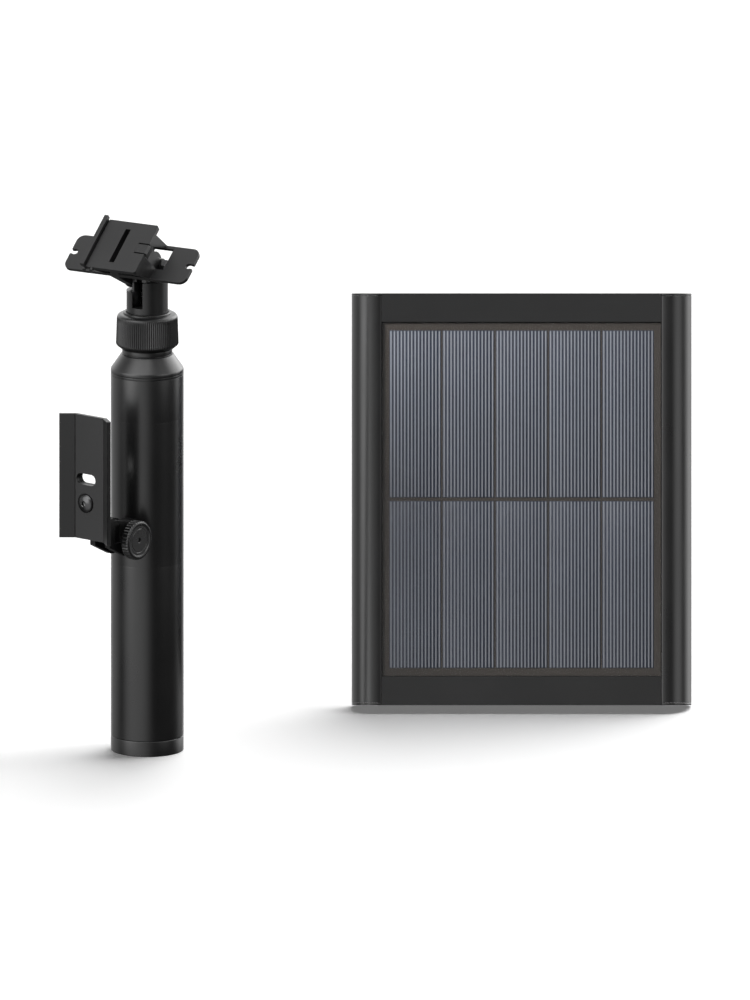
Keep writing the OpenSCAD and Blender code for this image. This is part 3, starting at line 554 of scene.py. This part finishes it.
def collarPiece(s):
    base, top = collarLow.z, collarHigh.z
    outline = [(radius * mm, base + height * mm, share) for radius, height, share in s["foot"]]
    for i in range(s["ribSteps"] + 1):
        t = i / s["ribSteps"]
        outline.append((collarRadius - s["taper"] * t, base + s["ribFoot"] + s["ribLength"] * t,
                        1.0 if 0 < i < s["ribSteps"] else 0.7))
    middle = collarRadius - s["taper"] - s["shoulder"]
    for i in range(1, 9):
        a = math.radians(90 * i / 8)
        outline.append((middle + s["shoulder"] * math.cos(a),
                        base + s["shoulderFoot"] + s["shoulderRise"] * math.sin(a), max(0.0, 0.6 - i * 0.2)))
    outline += [(radius * mm, top - drop * mm, 0) for radius, drop in s["lip"]]
    outline += [(s["neckBore"], top - 0.2 * mm, 0), (s["neckBore"], top - s["roof"], 0),
                (s["bore"], top - s["roof"], 0), (s["bore"], base + 0.2 * mm, 0)]
    rings = [(ribbedRadius(r, amount, s["ribs"], s["depth"]) if amount else r, z) for r, z, amount in outline]
    return ringStack("lockCollar", rings, s["ribs"] * s["perRib"], loop=True)


dress(collarPiece(collarSet), "collar", "collar_plastic", materials["collarPlastic"], "lock_collar")
print("pole and collar made")


# neck, spring and pivot

dress(refined("neck_fork", "neckFork", 0.3 * mm), "neck", "head_plastic", materials["headPlastic"], "neck_fork")

springSet = {"wire": 1 * mm, "radius": 3.4 * mm, "turns": 4, "perTurn": 36, "sides": 12}


def coil(s, low, high):
    points, faces = [], []
    half = s["wire"] / 2
    count = s["turns"] * s["perTurn"]
    for i in range(count + 1):
        angle = 2 * math.pi * i / s["perTurn"]
        height = low + half + (high - low - s["wire"]) * i / count
        for k in range(s["sides"]):
            b = 2 * math.pi * k / s["sides"]
            r = s["radius"] + half * math.cos(b)
            points.append((r * math.cos(angle), r * math.sin(angle), height + half * math.sin(b)))
    for i in range(count):
        for k in range(s["sides"]):
            n = (k + 1) % s["sides"]
            a, c = i * s["sides"], (i + 1) * s["sides"]
            faces.append((a + k, c + k, c + n, a + n))
    faces.append(tuple(range(s["sides"])))
    faces.append(tuple(reversed(range(count * s["sides"], (count + 1) * s["sides"]))))
    return smoothShade(meshFrom("detentSpring", points, faces, neckFrame), 60)


springLow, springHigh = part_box("detent_spring")
dress(coil(springSet, springLow.z, springHigh.z), "neck", "spring_steel", materials["springSteel"], "detent_spring")

plungerLow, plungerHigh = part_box("detent_plunger")
plungerRadius = plungerHigh.x
plungerSet = {"chamfer": 0.3 * mm, "nose": 1 * mm, "corner": 0.4 * mm}
plungerRings = rounded([(plungerRadius - plungerSet["chamfer"], plungerLow.z),
                        (plungerRadius, plungerLow.z + plungerSet["chamfer"]),
                        (plungerRadius, plungerHigh.z - plungerSet["nose"]), (plungerSet["nose"], plungerHigh.z)],
                       plungerSet["corner"], 4)
dress(ringStack("detentPlunger", plungerRings, 64), "neck", "black_steel", materials["blackScrew"],
      "detent_plunger")


def socketScrew(name, matrix, radius, head, shankRadius, shank, flats, dome=0.0, depth=None):
    # head on +Z above the seat at zero, shank below it, hexagon socket in the head
    depth = depth or head * 0.6
    edge = min(0.35 * mm, head * 0.3)
    rings = [(shankRadius - 0.25 * mm, -shank), (shankRadius, -shank + 0.3 * mm), (shankRadius, -0.01 * mm),
             (radius - 0.05 * mm, 0)]
    if dome:
        rings += [(radius, 0.15 * mm), (radius, head * 0.22)]
        domeEnd = math.radians(77.4)
        for i in range(1, 9):
            a = domeEnd * i / 8
            rings.append((radius * math.cos(a), head * 0.22 + head * 0.78 * math.sin(a) / math.sin(domeEnd)))
    else:
        rings += [(radius, edge * 0.5), (radius, head - edge)]
        rings += [(radius - edge * (1 - math.cos(math.radians(t))), head - edge + edge * math.sin(math.radians(t)))
                  for t in (30, 60, 90)]
    rings = [ring for ring in rings if ring[0] > flats / 2 * 1.25 or ring[1] <= 0]
    rings += [(flats / 2 * 1.22, head), (hexRadius(flats), head - 0.12 * mm), (hexRadius(flats), head - depth),
              (flats * 0.1, head - depth - 0.3 * mm)]
    return ringStack(name, rings, 72, matrix)


tiltDir = Vector(joints["head_tilt"]["axis"])
pivotSet = {"earOut": 8.3 * mm, "gap": 0.3 * mm, "past": 4.3 * mm, "headRadius": 4.2 * mm, "head": 2.7 * mm,
            "radius": 2.5 * mm, "flats": 4 * mm}
pivotSeat = pivotPoint - tiltDir * (pivotSet["earOut"] + pivotSet["gap"])
dress(socketScrew("headPivotBolt", turnedTo(pivotSeat, -tiltDir), pivotSet["headRadius"], pivotSet["head"],
                  pivotSet["radius"], 2 * pivotSet["earOut"] + pivotSet["past"], pivotSet["flats"]),
      "neck", "black_steel", materials["blackScrew"], "head_pivot_bolt")
dress(refined("head_pivot_nut", "headPivotNut", 0.35 * mm, 3), "neck", "black_steel", materials["blackScrew"],
      "head_pivot_nut")


# head plates

dress(refined("head_bracket", "headBracket", 0.3 * mm, 3), "head", "head_plastic", materials["headPlastic"],
      "head_bracket")
lipSet = {"slope": 38.2, "out": 29.6 * mm, "half": 15.5 * mm, "lip": 2.2 * mm, "wide": 0.55 * mm, "deep": 0.9 * mm,
          "middle": -11.6 * mm}


def lipGroove(s):
    # shadow line at the foot of the guide lip
    place = Matrix.Translation(pivotPoint) @ neckFrame @ Matrix.Rotation(math.radians(s["slope"]), 4, "X")
    x = -s["half"] + s["lip"]
    return [manyBoxes("lipGroove", [(x, x + s["wide"], s["middle"] - s["half"] - 1 * mm,
                                     s["middle"] + s["half"] + 1 * mm, s["out"] - s["deep"], s["out"] + 0.3 * mm)],
                      place)]


dress(refined("slide_plate", "slidePlate", 0.2 * mm, 3, cuts=lipGroove(lipSet)), "head", "head_plastic",
      materials["headPlastic"], "slide_plate")
dress(refined("latch_tab", "latchTab", 0.15 * mm, 2), "latch", "head_plastic", materials["headPlastic"],
      "latch_tab")
print("head made")


# camera bracket

creaseSet = {"half": 0.22 * mm, "depth": 0.35 * mm, "fold": 38, "flange": 8 * mm, "thick": 2 * mm, "inset": 0.5 * mm}


def plateCreases(s):
    # thin pressed lines along both folds and beside the outer edge
    low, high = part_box("camera_plate")
    run, drop = s["flange"] * math.cos(math.radians(s["fold"])), s["flange"] * math.sin(math.radians(s["fold"]))
    edge = s["thick"] * math.sin(math.radians(s["fold"]))
    foldY = low.y + drop
    slope = math.radians(s["fold"])
    places = [(low.x + edge + run, foldY, 0),
              (high.x - edge + s["inset"] * math.sin(slope), low.y + s["inset"] * math.cos(slope), s["fold"] - 90)]
    cutters = []
    for x, y, lean in places:
        a = math.radians(lean)
        across, inward = Vector((math.cos(a), -math.sin(a), 0)), Vector((math.sin(a), math.cos(a), 0))
        base = Vector((x, y, 0))
        corners = [base - across * s["half"] - inward * s["depth"], base + across * s["half"] - inward * s["depth"],
                   base + across * s["half"] * 0.5 + inward * s["depth"],
                   base - across * s["half"] * 0.5 + inward * s["depth"]]
        points = [c + upward * z for z in (low.z - 1 * mm, high.z + 1 * mm) for c in corners]
        cutters.append(meshFrom("crease", points, [(3, 2, 1, 0), (4, 5, 6, 7), (0, 1, 5, 4), (1, 2, 6, 5),
                                                   (2, 3, 7, 6), (3, 0, 4, 7)]))
    return cutters


dress(refined("camera_plate", "cameraPlate", 0.3 * mm, 3, cuts=plateCreases(creaseSet)), "bracket",
      "bracket_plate_coat", materials["bracketCoat"], "camera_plate")
# yoke, hinge block and washers take the darker copy of the bracket plastic, a painted shade
dress(refined("bracket_yoke", "bracketYoke", 0.35 * mm, 3), "bracket", "bracket_plastic",
      materials["paintedShadePlastic"], "bracket_yoke")
dress(refined("hinge_block", "hingeBlock", 0.35 * mm, 3), "pole", "bracket_plastic", materials["paintedShadePlastic"],
      "hinge_block")
screwLow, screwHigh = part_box("camera_plate_screw")
screwSet = {"radius": 4.66 * mm, "head": 2.58 * mm, "shankRadius": 2.18 * mm, "flats": 2.6 * mm}
screwMid = (screwLow + screwHigh) / 2
screwSeat = Vector((screwMid.x, screwLow.y + screwSet["head"], screwMid.z))
dress(socketScrew("plateScrew", turnedTo(screwSeat, (0, -1, 0)), screwSet["radius"], screwSet["head"],
                  screwSet["shankRadius"], screwHigh.y - screwSeat.y, screwSet["flats"], dome=1.0, depth=1.4 * mm),
      "bracket", "black_steel", materials["blackScrew"], "camera_plate_screw")
dress(refined("camera_plate_nut", "plateNut", 0.3 * mm, 3), "bracket", "steel", materials["zincSteel"],
      "camera_plate_nut")
dress(refined("hinge_bolt", "hingeBolt", 0.25 * mm, 3), "bracket", "black_steel", materials["blackScrew"],
      "hinge_bolt")
dress(refined("hinge_washers", "hingeWashers", 0.25 * mm, 2), "bracket", "bracket_plastic",
      materials["paintedShadePlastic"], "hinge_washers")

# rim: in from the edge, height, share of the grip depth; face: in from the edge, below the face, share
knobSet = {"grips": 40, "perGrip": 8, "gripDepth": 0.3 * mm, "recess": 0.5 * mm, "hole": 1.1 * mm,
           "bore": 2.55 * mm, "insert": 4.6 * mm, "insertDepth": 3.0 * mm, "foot": 5.4 * mm,
           "rim": ((0.9, 0, 0), (0.35, 0.15, 0.4), (0, 0.6, 1), (0, 1.05, 1), (0, 1.5, 1), (0, 1.95, 1), (0, 2.4, 1),
                   (0, 2.85, 1), (0, 3.3, 1), (0, 3.75, 1)),
           "face": ((0.1, 0.75, 0.8), (0.45, 0.3, 0.3), (0.9, 0.04, 0), (1.3, 0, 0), (1.95, 0, 0), (2.2, 0.1, 0),
                    (2.45, 0.5, 0), (3.6, 0.5, 0), (3.8, 0.65, 0), (4.1, 0.65, 0), (4.3, 0.5, 0))}
knobLow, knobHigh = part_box("thumb_knob")


def knobPiece(s):
    radius, thick = (knobHigh.y - knobLow.y) / 2, knobHigh.x - knobLow.x
    outline = [(s["foot"], 0, 0)]
    outline += [(radius - inward * mm, height * mm, share) for inward, height, share in s["rim"]]
    outline += [(radius - inward * mm, thick - drop * mm, share) for inward, drop, share in s["face"]]
    outline += [(s["hole"] + 0.3 * mm, thick - s["recess"], 0), (s["hole"], thick - s["recess"] - 0.25 * mm, 0),
                (s["hole"], thick - 1.1 * mm, 0), (s["bore"], thick - 1.15 * mm, 0),
                (s["bore"], s["insertDepth"] + 0.05 * mm, 0), (s["insert"], s["insertDepth"], 0), (s["insert"], 0, 0)]
    rings = [(ribbedRadius(r, share, s["grips"], s["gripDepth"]) if share else r, z) for r, z, share in outline]
    place = axesAt(Vector((knobLow.x, hingePoint.y, hingePoint.z)), Vector((0, 1, 0)), Vector((0, 0, 1)),
                   Vector((1, 0, 0)))
    return ringStack("thumbKnob", rings, s["grips"] * s["perGrip"], place, loop=True)


dress(knobPiece(knobSet), "knob", "bracket_plastic", materials["bracketPlastic"], "thumb_knob")

innerBolts = {"headRadius": 3 * mm, "head": 2.2 * mm, "radius": 1.48 * mm, "flats": 2.5 * mm, "apart": 5 * mm}
throughLow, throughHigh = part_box("hinge_through_bolts")
boltSeat = throughHigh.y - innerBolts["head"]
throughX = (throughLow.x + throughHigh.x) / 2
backScrews = [socketScrew("backScrew" + str(i), turnedTo((throughX, boltSeat, hingePoint.z + s * innerBolts["apart"]),
                                                        (0, 1, 0)), innerBolts["headRadius"], innerBolts["head"],
                          innerBolts["radius"], boltSeat - throughLow.y, innerBolts["flats"])
              for i, s in enumerate((-1, 1))]
dress(joined("throughBolts", backScrews), "pole", "black_steel", materials["blackScrew"], "hinge_through_bolts")
dress(refined("bolt_saddle_washers", "saddleWashers", 0.15 * mm), "pole", "black_steel", materials["blackScrew"],
      "bolt_saddle_washers")
print("camera bracket made")


# panel frame: curved rails, end bars

railSet = {"width": 15 * mm, "flat": 2.5 * mm, "depthShare": 0.62, "steps": 36, "backCorner": 3 * mm,
           "hook": 2 * mm, "back": 2.52 * mm, "capGap": 1.22 * mm, "capThick": 1.2 * mm, "capEdge": 0.35 * mm}


def railOutline(side, s):
    half, thick, corner = panelSet["width"] / 2, panelSet["thickness"], s["backCorner"]
    inner = half - s["width"]
    rx, ry = s["width"] - s["flat"], thick * s["depthShare"]
    points = [(inner, -thick + 0.5 * mm), (inner + 0.15 * mm, -thick + 0.15 * mm), (inner + 0.5 * mm, -thick)]
    for i in range(s["steps"] + 1):
        a = math.radians(90 - 90 * i / s["steps"])
        points.append((half - rx + rx * math.cos(a), -thick + ry - ry * math.sin(a)))
    for i in range(9):
        a = math.radians(90 * i / 8)
        points.append((half - corner + corner * math.cos(a), -corner + corner * math.sin(a)))
    points += [(inner + s["hook"], 0), (inner + s["hook"], -s["back"]), (inner, -s["back"])]
    return points if side > 0 else [(-x, y) for x, y in reversed(points)]


def drawnOut(name, outline, low, high):
    count = len(outline)
    points = [(x, y, z) for z in (low, high) for x, y in outline]
    faces = [(i, (i + 1) % count, count + (i + 1) % count, count + i) for i in range(count)]
    faces += [tuple(reversed(range(count))), tuple(range(count, 2 * count))]
    return meshFrom(name, points, faces, panelFrame)


def railPiece(name, side, s):
    return smoothShade(drawnOut(name, railOutline(side, s), s["capGap"], panelSet["height"] - s["capGap"]), 25)


def capPiece(s):
    parts = [softEdges(drawnOut("endCap", railOutline(side, s), low, low + s["capThick"]), s["capEdge"], 3, 40)
             for side in (-1, 1) for low in (0, panelSet["height"] - s["capThick"])]
    return joined("railEndCaps", parts)


dress(railPiece("railLeft", -1, railSet), "panel", "frame_plastic", materials["railPlastic"], "rail_left")
dress(railPiece("railRight", 1, railSet), "panel", "frame_plastic", materials["railPlastic"], "rail_right")
dress(capPiece(railSet), "panel", "frame_plastic", materials["railPlastic"], "rail_end_caps")
for node, name in (("frame_bar_top", "frameBarTop"), ("frame_bar_bottom", "frameBarBottom")):
    dress(refined(node, name, 0.4 * mm, 3), "panel", "frame_plastic", materials["barPlastic"], node)


sideScrewSet = {"inset": 7.5 * mm, "depth": 9 * mm, "fromEnd": 7.2 * mm, "radius": 3 * mm, "head": 2 * mm,
                "shankRadius": 1.48 * mm, "shank": 15.5 * mm, "flats": 2.4 * mm}


def sideScrews(s):
    parts = []
    for side in (-1, 1):
        for height in (s["fromEnd"], panelSet["height"] - s["fromEnd"]):
            seat = panelFrame @ Vector((side * (panelSet["width"] / 2 - s["inset"]), -s["depth"], height))
            parts.append(socketScrew("sideScrew", turnedTo(seat, acrossDir * side), s["radius"], s["head"],
                                     s["shankRadius"], s["shank"], s["flats"]))
    return joined("frameScrews", parts)


dress(sideScrews(sideScrewSet), "panel", "steel", materials["zincSteel"], "frame_screws")


# glass, cells and their printed fingers

glassSet = {"recess": 0.6 * mm, "thick": 2 * mm, "halfWidth": 69.8 * mm, "bar": 14.4 * mm, "gap": 0.2 * mm,
            "edge": 0.3 * mm}
glassFront = -panelSet["thickness"] + glassSet["recess"]
glass = softEdges(manyBoxes("coverGlass", [(-glassSet["halfWidth"], glassSet["halfWidth"], glassFront,
                                            glassFront + glassSet["thick"], glassSet["bar"] + glassSet["gap"],
                                            panelSet["height"] - glassSet["bar"] - glassSet["gap"])], panelFrame),
                  glassSet["edge"], 3)
dress(smoothShade(glass), "panel", "cover_glass", materials["coverGlass"], "cover_glass")

cellSet = {"columns": 5, "area": 133 * mm, "gap": 0.8 * mm, "thick": 0.2 * mm, "rowGap": 1.75 * mm,
           "fingers": 15, "pitch": 1.727 * mm, "fingerWidth": 0.7 * mm, "fingerRise": 0.03 * mm,
           "fingerInset": 0.3 * mm, "border": 8 * mm, "edge": 0.08 * mm}
cellFront = glassFront + glassSet["thick"]
glassHeight = panelSet["height"] - 2 * (glassSet["bar"] + glassSet["gap"])
cellHeight = (glassHeight - cellSet["border"] - cellSet["rowGap"]) / 2


def cellRow(name, low, s):
    pitch = s["area"] / s["columns"]
    boxes = [(-s["area"] / 2 + i * pitch + s["gap"] / 2, -s["area"] / 2 + (i + 1) * pitch - s["gap"] / 2,
              cellFront + s["fingerRise"], cellFront + s["thick"], low, low + cellHeight) for i in range(s["columns"])]
    return smoothShade(softEdges(manyBoxes(name, boxes, panelFrame), s["edge"], 2))


def fingerRow(name, low, s):
    pitch = s["area"] / s["columns"]
    boxes = []
    for i in range(s["columns"]):
        middle = -s["area"] / 2 + (i + 0.5) * pitch
        for k in range(s["fingers"]):
            x = middle + (k - (s["fingers"] - 1) / 2) * s["pitch"]
            boxes.append((x - s["fingerWidth"] / 2, x + s["fingerWidth"] / 2, cellFront + 0.002 * mm,
                          cellFront + s["fingerRise"] + 0.01 * mm, low + s["fingerInset"],
                          low + cellHeight - s["fingerInset"]))
    return manyBoxes(name, boxes, panelFrame)


middleHeight = panelSet["height"] / 2
for node, name, low in (("cells_upper_row", "cellsUpper", middleHeight + cellSet["rowGap"] / 2),
                        ("cells_lower_row", "cellsLower", middleHeight - cellSet["rowGap"] / 2 - cellHeight)):
    dress(cellRow(name, low, cellSet), "panel", "cell", materials["siliconCell"], node)
    dress(fingerRow(name + "Fingers", low, cellSet), "panel", "cell", materials["silverFinger"])
dress(refined("cell_board", "cellBoard", 0.2 * mm), "panel", "cell_board", materials["laminate"], "cell_board")
print("panel front made")


# back of the panel

dress(refined("back_cover", "backCover", 0.4 * mm, 3), "panel", "back_plastic", materials["backPlastic"],
      "back_cover")
dress(refined("mount_receiver", "mountReceiver", 0.35 * mm, 3), "panel", "back_plastic", materials["backPlastic"],
      "mount_receiver")
dress(refined("cable_inlet", "cableInlet", 0.4 * mm, 3), "panel", "back_plastic", materials["capPlastic"],
      "cable_inlet")
dress(refined("inlet_seal", "inletSeal", 0.5 * mm, 3), "panel", "seal", materials["sealRubber"], "inlet_seal")


coverScrewSet = {"x": 65 * mm, "fromEnd": 4.2 * mm, "out": 0.02 * mm, "radius": 2.8 * mm, "head": 1.4 * mm,
                 "shankRadius": 1.26 * mm, "shank": 8 * mm, "flats": 1.5 * mm}
receiverScrewSet = {"reach": 21.8 * mm, "out": 2.04 * mm, "radius": 2.5 * mm, "head": 1.3 * mm,
                    "shankRadius": 1.36 * mm, "shank": 2 * mm, "flats": 1.4 * mm}


def screwsAt(name, places, s):
    parts = [socketScrew(name, turnedTo(panelFrame @ Vector(place), backDir), s["radius"], s["head"],
                         s["shankRadius"], s["shank"], s["flats"], dome=1.0, depth=s["head"] * 0.7)
             for place in places]
    return dress(joined(name, parts), "panel", "black_steel", materials["blackScrew"])


coverPlaces = [(x, coverScrewSet["out"], z) for x in (-coverScrewSet["x"], coverScrewSet["x"])
               for z in (coverScrewSet["fromEnd"], panelSet["height"] - coverScrewSet["fromEnd"])]
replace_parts(screwsAt("backCoverScrews", coverPlaces, coverScrewSet), "back_cover_screws")
receiverPlaces = [(0, receiverScrewSet["out"], panelSet["receiverHeight"] + side * receiverScrewSet["reach"])
                  for side in (-1, 1)]
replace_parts(screwsAt("receiverScrews", receiverPlaces, receiverScrewSet), "receiver_screws")

# CAD nodes that stay as they are, with their own finishes
carried = {"neck_collet": "capPlastic", "neck_retaining_clip": "springSteel", "knob_insert": "brassTurned",
           "glass_seal": "sealRubber", "junction_board": "circuitGreen", "board_components": "componentBlack"}
for node, finish in carried.items():
    nodes[node].data.materials.clear()
    nodes[node].data.materials.append(materials[finish])
print("panel back made")


# floor, lights and camera

floorSet = {"half": 5.0, "dark": (0.93, 0.93, 0.93), "light": (0.95, 0.95, 0.95), "grainScale": 60.0,
            "cloudScale": 2.0, "roughness": 0.9, "specular": 0.1, "lift": 0.15}


def floorMaterial(s):
    material = bpy.data.materials.new("paleFloor")
    material.use_nodes = True
    tree = material.node_tree
    shader = setInputs(tree.nodes["Principled BSDF"], Roughness=s["roughness"], Specular_IOR_Level=s["specular"],
                       Emission_Color=(1, 1, 1, 1), Emission_Strength=s["lift"])  # lift keeps the contact shadow soft
    grain = useGroup(tree, grainGroup, (-700, 0), Scale=s["grainScale"], Cloud_Scale=s["cloudScale"])
    tree.links.new(mixColor(tree, grain.outputs["Cloud"], s["dark"], s["light"], (-400, 100)),
                   shader.inputs["Base Color"])
    return material


half = floorSet["half"]
floor = meshFrom("floor", [(-half, -half, 0), (half, -half, 0), (half, half, 0), (-half, half, 0)], [(0, 1, 2, 3)])
floor.data.materials.append(floorMaterial(floorSet))


def areaLight(name, place, aim, size, power):
    light = bpy.data.lights.new(name, "AREA")
    light.shape = "RECTANGLE"
    light.size, light.size_y = size
    light.energy = power
    obj = link(bpy.data.objects.new(name, light))
    direction = Vector(aim) - Vector(place)
    obj.rotation_euler = direction.to_track_quat("-Z", "Y").to_euler()
    obj.location = place
    return obj


cameraSet = {"turn": 39, "rise": 13, "distance": 2.0, "span": 0.5, "aim": (0.0885, 0.07165, 0.1278)}
turn, rise = math.radians(cameraSet["turn"]), math.radians(cameraSet["rise"])
toCamera = Vector((math.sin(turn) * math.cos(rise), -math.cos(turn) * math.cos(rise), math.sin(rise)))
toRight = Vector((math.cos(turn), math.sin(turn), 0))
toFront = Vector((math.sin(turn), -math.cos(turn), 0))
aim = Vector(cameraSet["aim"])

lightSet = {"key": (-0.25, 0.3, 0.42), "keyAim": (0.0, -0.1, 0.1), "keyPower": 3.2, "keySize": (0.4, 0.4),
            "glow": (-0.24, 0.12, 0.22), "glowAim": (0.05, -0.13, 0.02), "glowPower": 6.8, "glowSize": (0.12, 0.12),
            "sky": (0.42, -0.5, 0.78), "skyAngle": 65, "skyPower": 4.5}
# each lobe: across, front, up, where it starts, where it is full, power
worldSet = {"base": 0.1, "lobes": ((-0.8, 0.5, 0.33, 0.82, 0.98, 3.4), (-0.55, 0.75, -0.3, 0.6, 1.0, 1.35),
                                   (-0.85, -0.5, 0.1, 0.75, 1.0, 0.75), (0.0, 0.95, 0.3, 0.85, 1.0, 0.2),
                                   (0.78, 0.5, 0.35, 0.86, 1.0, 2.4), (0.78, -0.52, 0.35, 0.74, 1.0, 4.2),
                                   (0.0, -0.95, 0.3, 0.6, 0.97, 1.6), (-0.25, 0.5, 0.83, 0.8, 1.0, 3.0),
                                   (0.0, 0.0, -1.0, 0.6, 0.95, 0.2), (0.0, 0.0, 1.0, 0.55, 0.95, 0.85))}


def studioPoint(right, front, up):
    return aim + toRight * right + toFront * front + upward * up


key = areaLight("keySoftbox", studioPoint(*lightSet["key"]), studioPoint(*lightSet["keyAim"]),
                lightSet["keySize"], lightSet["keyPower"])
skyData = bpy.data.lights.new("skyGlow", "SUN")
skyData.angle = math.radians(lightSet["skyAngle"])
skyData.energy = lightSet["skyPower"]
sky = link(bpy.data.objects.new("skyGlow", skyData))
skyDir = toRight * lightSet["sky"][0] + toFront * lightSet["sky"][1] + upward * lightSet["sky"][2]
sky.rotation_euler = skyDir.to_track_quat("Z", "Y").to_euler()
glow = areaLight("panelGlow", studioPoint(*lightSet["glow"]), studioPoint(*lightSet["glowAim"]),
                 lightSet["glowSize"], lightSet["glowPower"])
for light in (key, sky, glow):
    light.visible_glossy = False
key.visible_camera = glow.visible_camera = False


def lightOnly(light, names, state):
    # light linking: the named pieces are the only ones it reaches, or the only ones it misses
    group = bpy.data.collections.new(light.name + "Pieces")
    for name in names:
        group.objects.link(bpy.data.objects[name])
    for entry in group.collection_objects:
        entry.light_linking.link_state = state
    light.light_linking.receiver_collection = group


cellPieces = ["cellsUpper", "cellsLower", "cellsUpperFingers", "cellsLowerFingers", "cellBoard"]
lightOnly(key, ["floor"] + cellPieces, "EXCLUDE")
lightOnly(glow, cellPieces, "INCLUDE")
lightOnly(sky, cellPieces, "EXCLUDE")


def studioWorld(s):
    # the surroundings the glossy faces mirror: a soft glow on the left, a rim behind on the right, dark front right
    world = bpy.data.worlds.new("paleStudio")
    bpy.context.scene.world = world
    world.use_nodes = True
    tree = world.node_tree
    where = addNode(tree, "ShaderNodeTexCoord")
    total = s["base"]
    for across, front, up, start, end, power in s["lobes"]:
        direction = (toRight * across + toFront * front + upward * up).normalized()
        dot = addNode(tree, "ShaderNodeVectorMath", operation="DOT_PRODUCT")
        tree.links.new(where.outputs["Generated"], dot.inputs[0])
        dot.inputs[1].default_value = direction
        lobe = setInputs(addNode(tree, "ShaderNodeMapRange", interpolation_type="SMOOTHSTEP"), From_Min=start,
                         From_Max=end, To_Max=power)
        tree.links.new(dot.outputs["Value"], lobe.inputs["Value"])
        total = mathNode(tree, "ADD", lobe.outputs["Result"], total)
    tree.links.new(total, tree.nodes["Background"].inputs["Strength"])
    tree.nodes["Background"].inputs["Color"].default_value = (1, 1, 1, 1)


studioWorld(worldSet)
bpy.context.scene.world.cycles_visibility.diffuse = False
floor.visible_glossy = False
floor.visible_diffuse = False
bpy.context.scene.view_settings.view_transform = "Standard"

cameraData = bpy.data.cameras.new("camera")
cameraData.type = "ORTHO"
cameraData.ortho_scale = cameraSet["span"]
cameraData.clip_end = 50
camera = link(bpy.data.objects.new("camera", cameraData))
camera.location = aim + toCamera * cameraSet["distance"]
camera.rotation_euler = (-toCamera).to_track_quat("-Z", "Y").to_euler()
bpy.context.scene.camera = camera

print("scene ready")
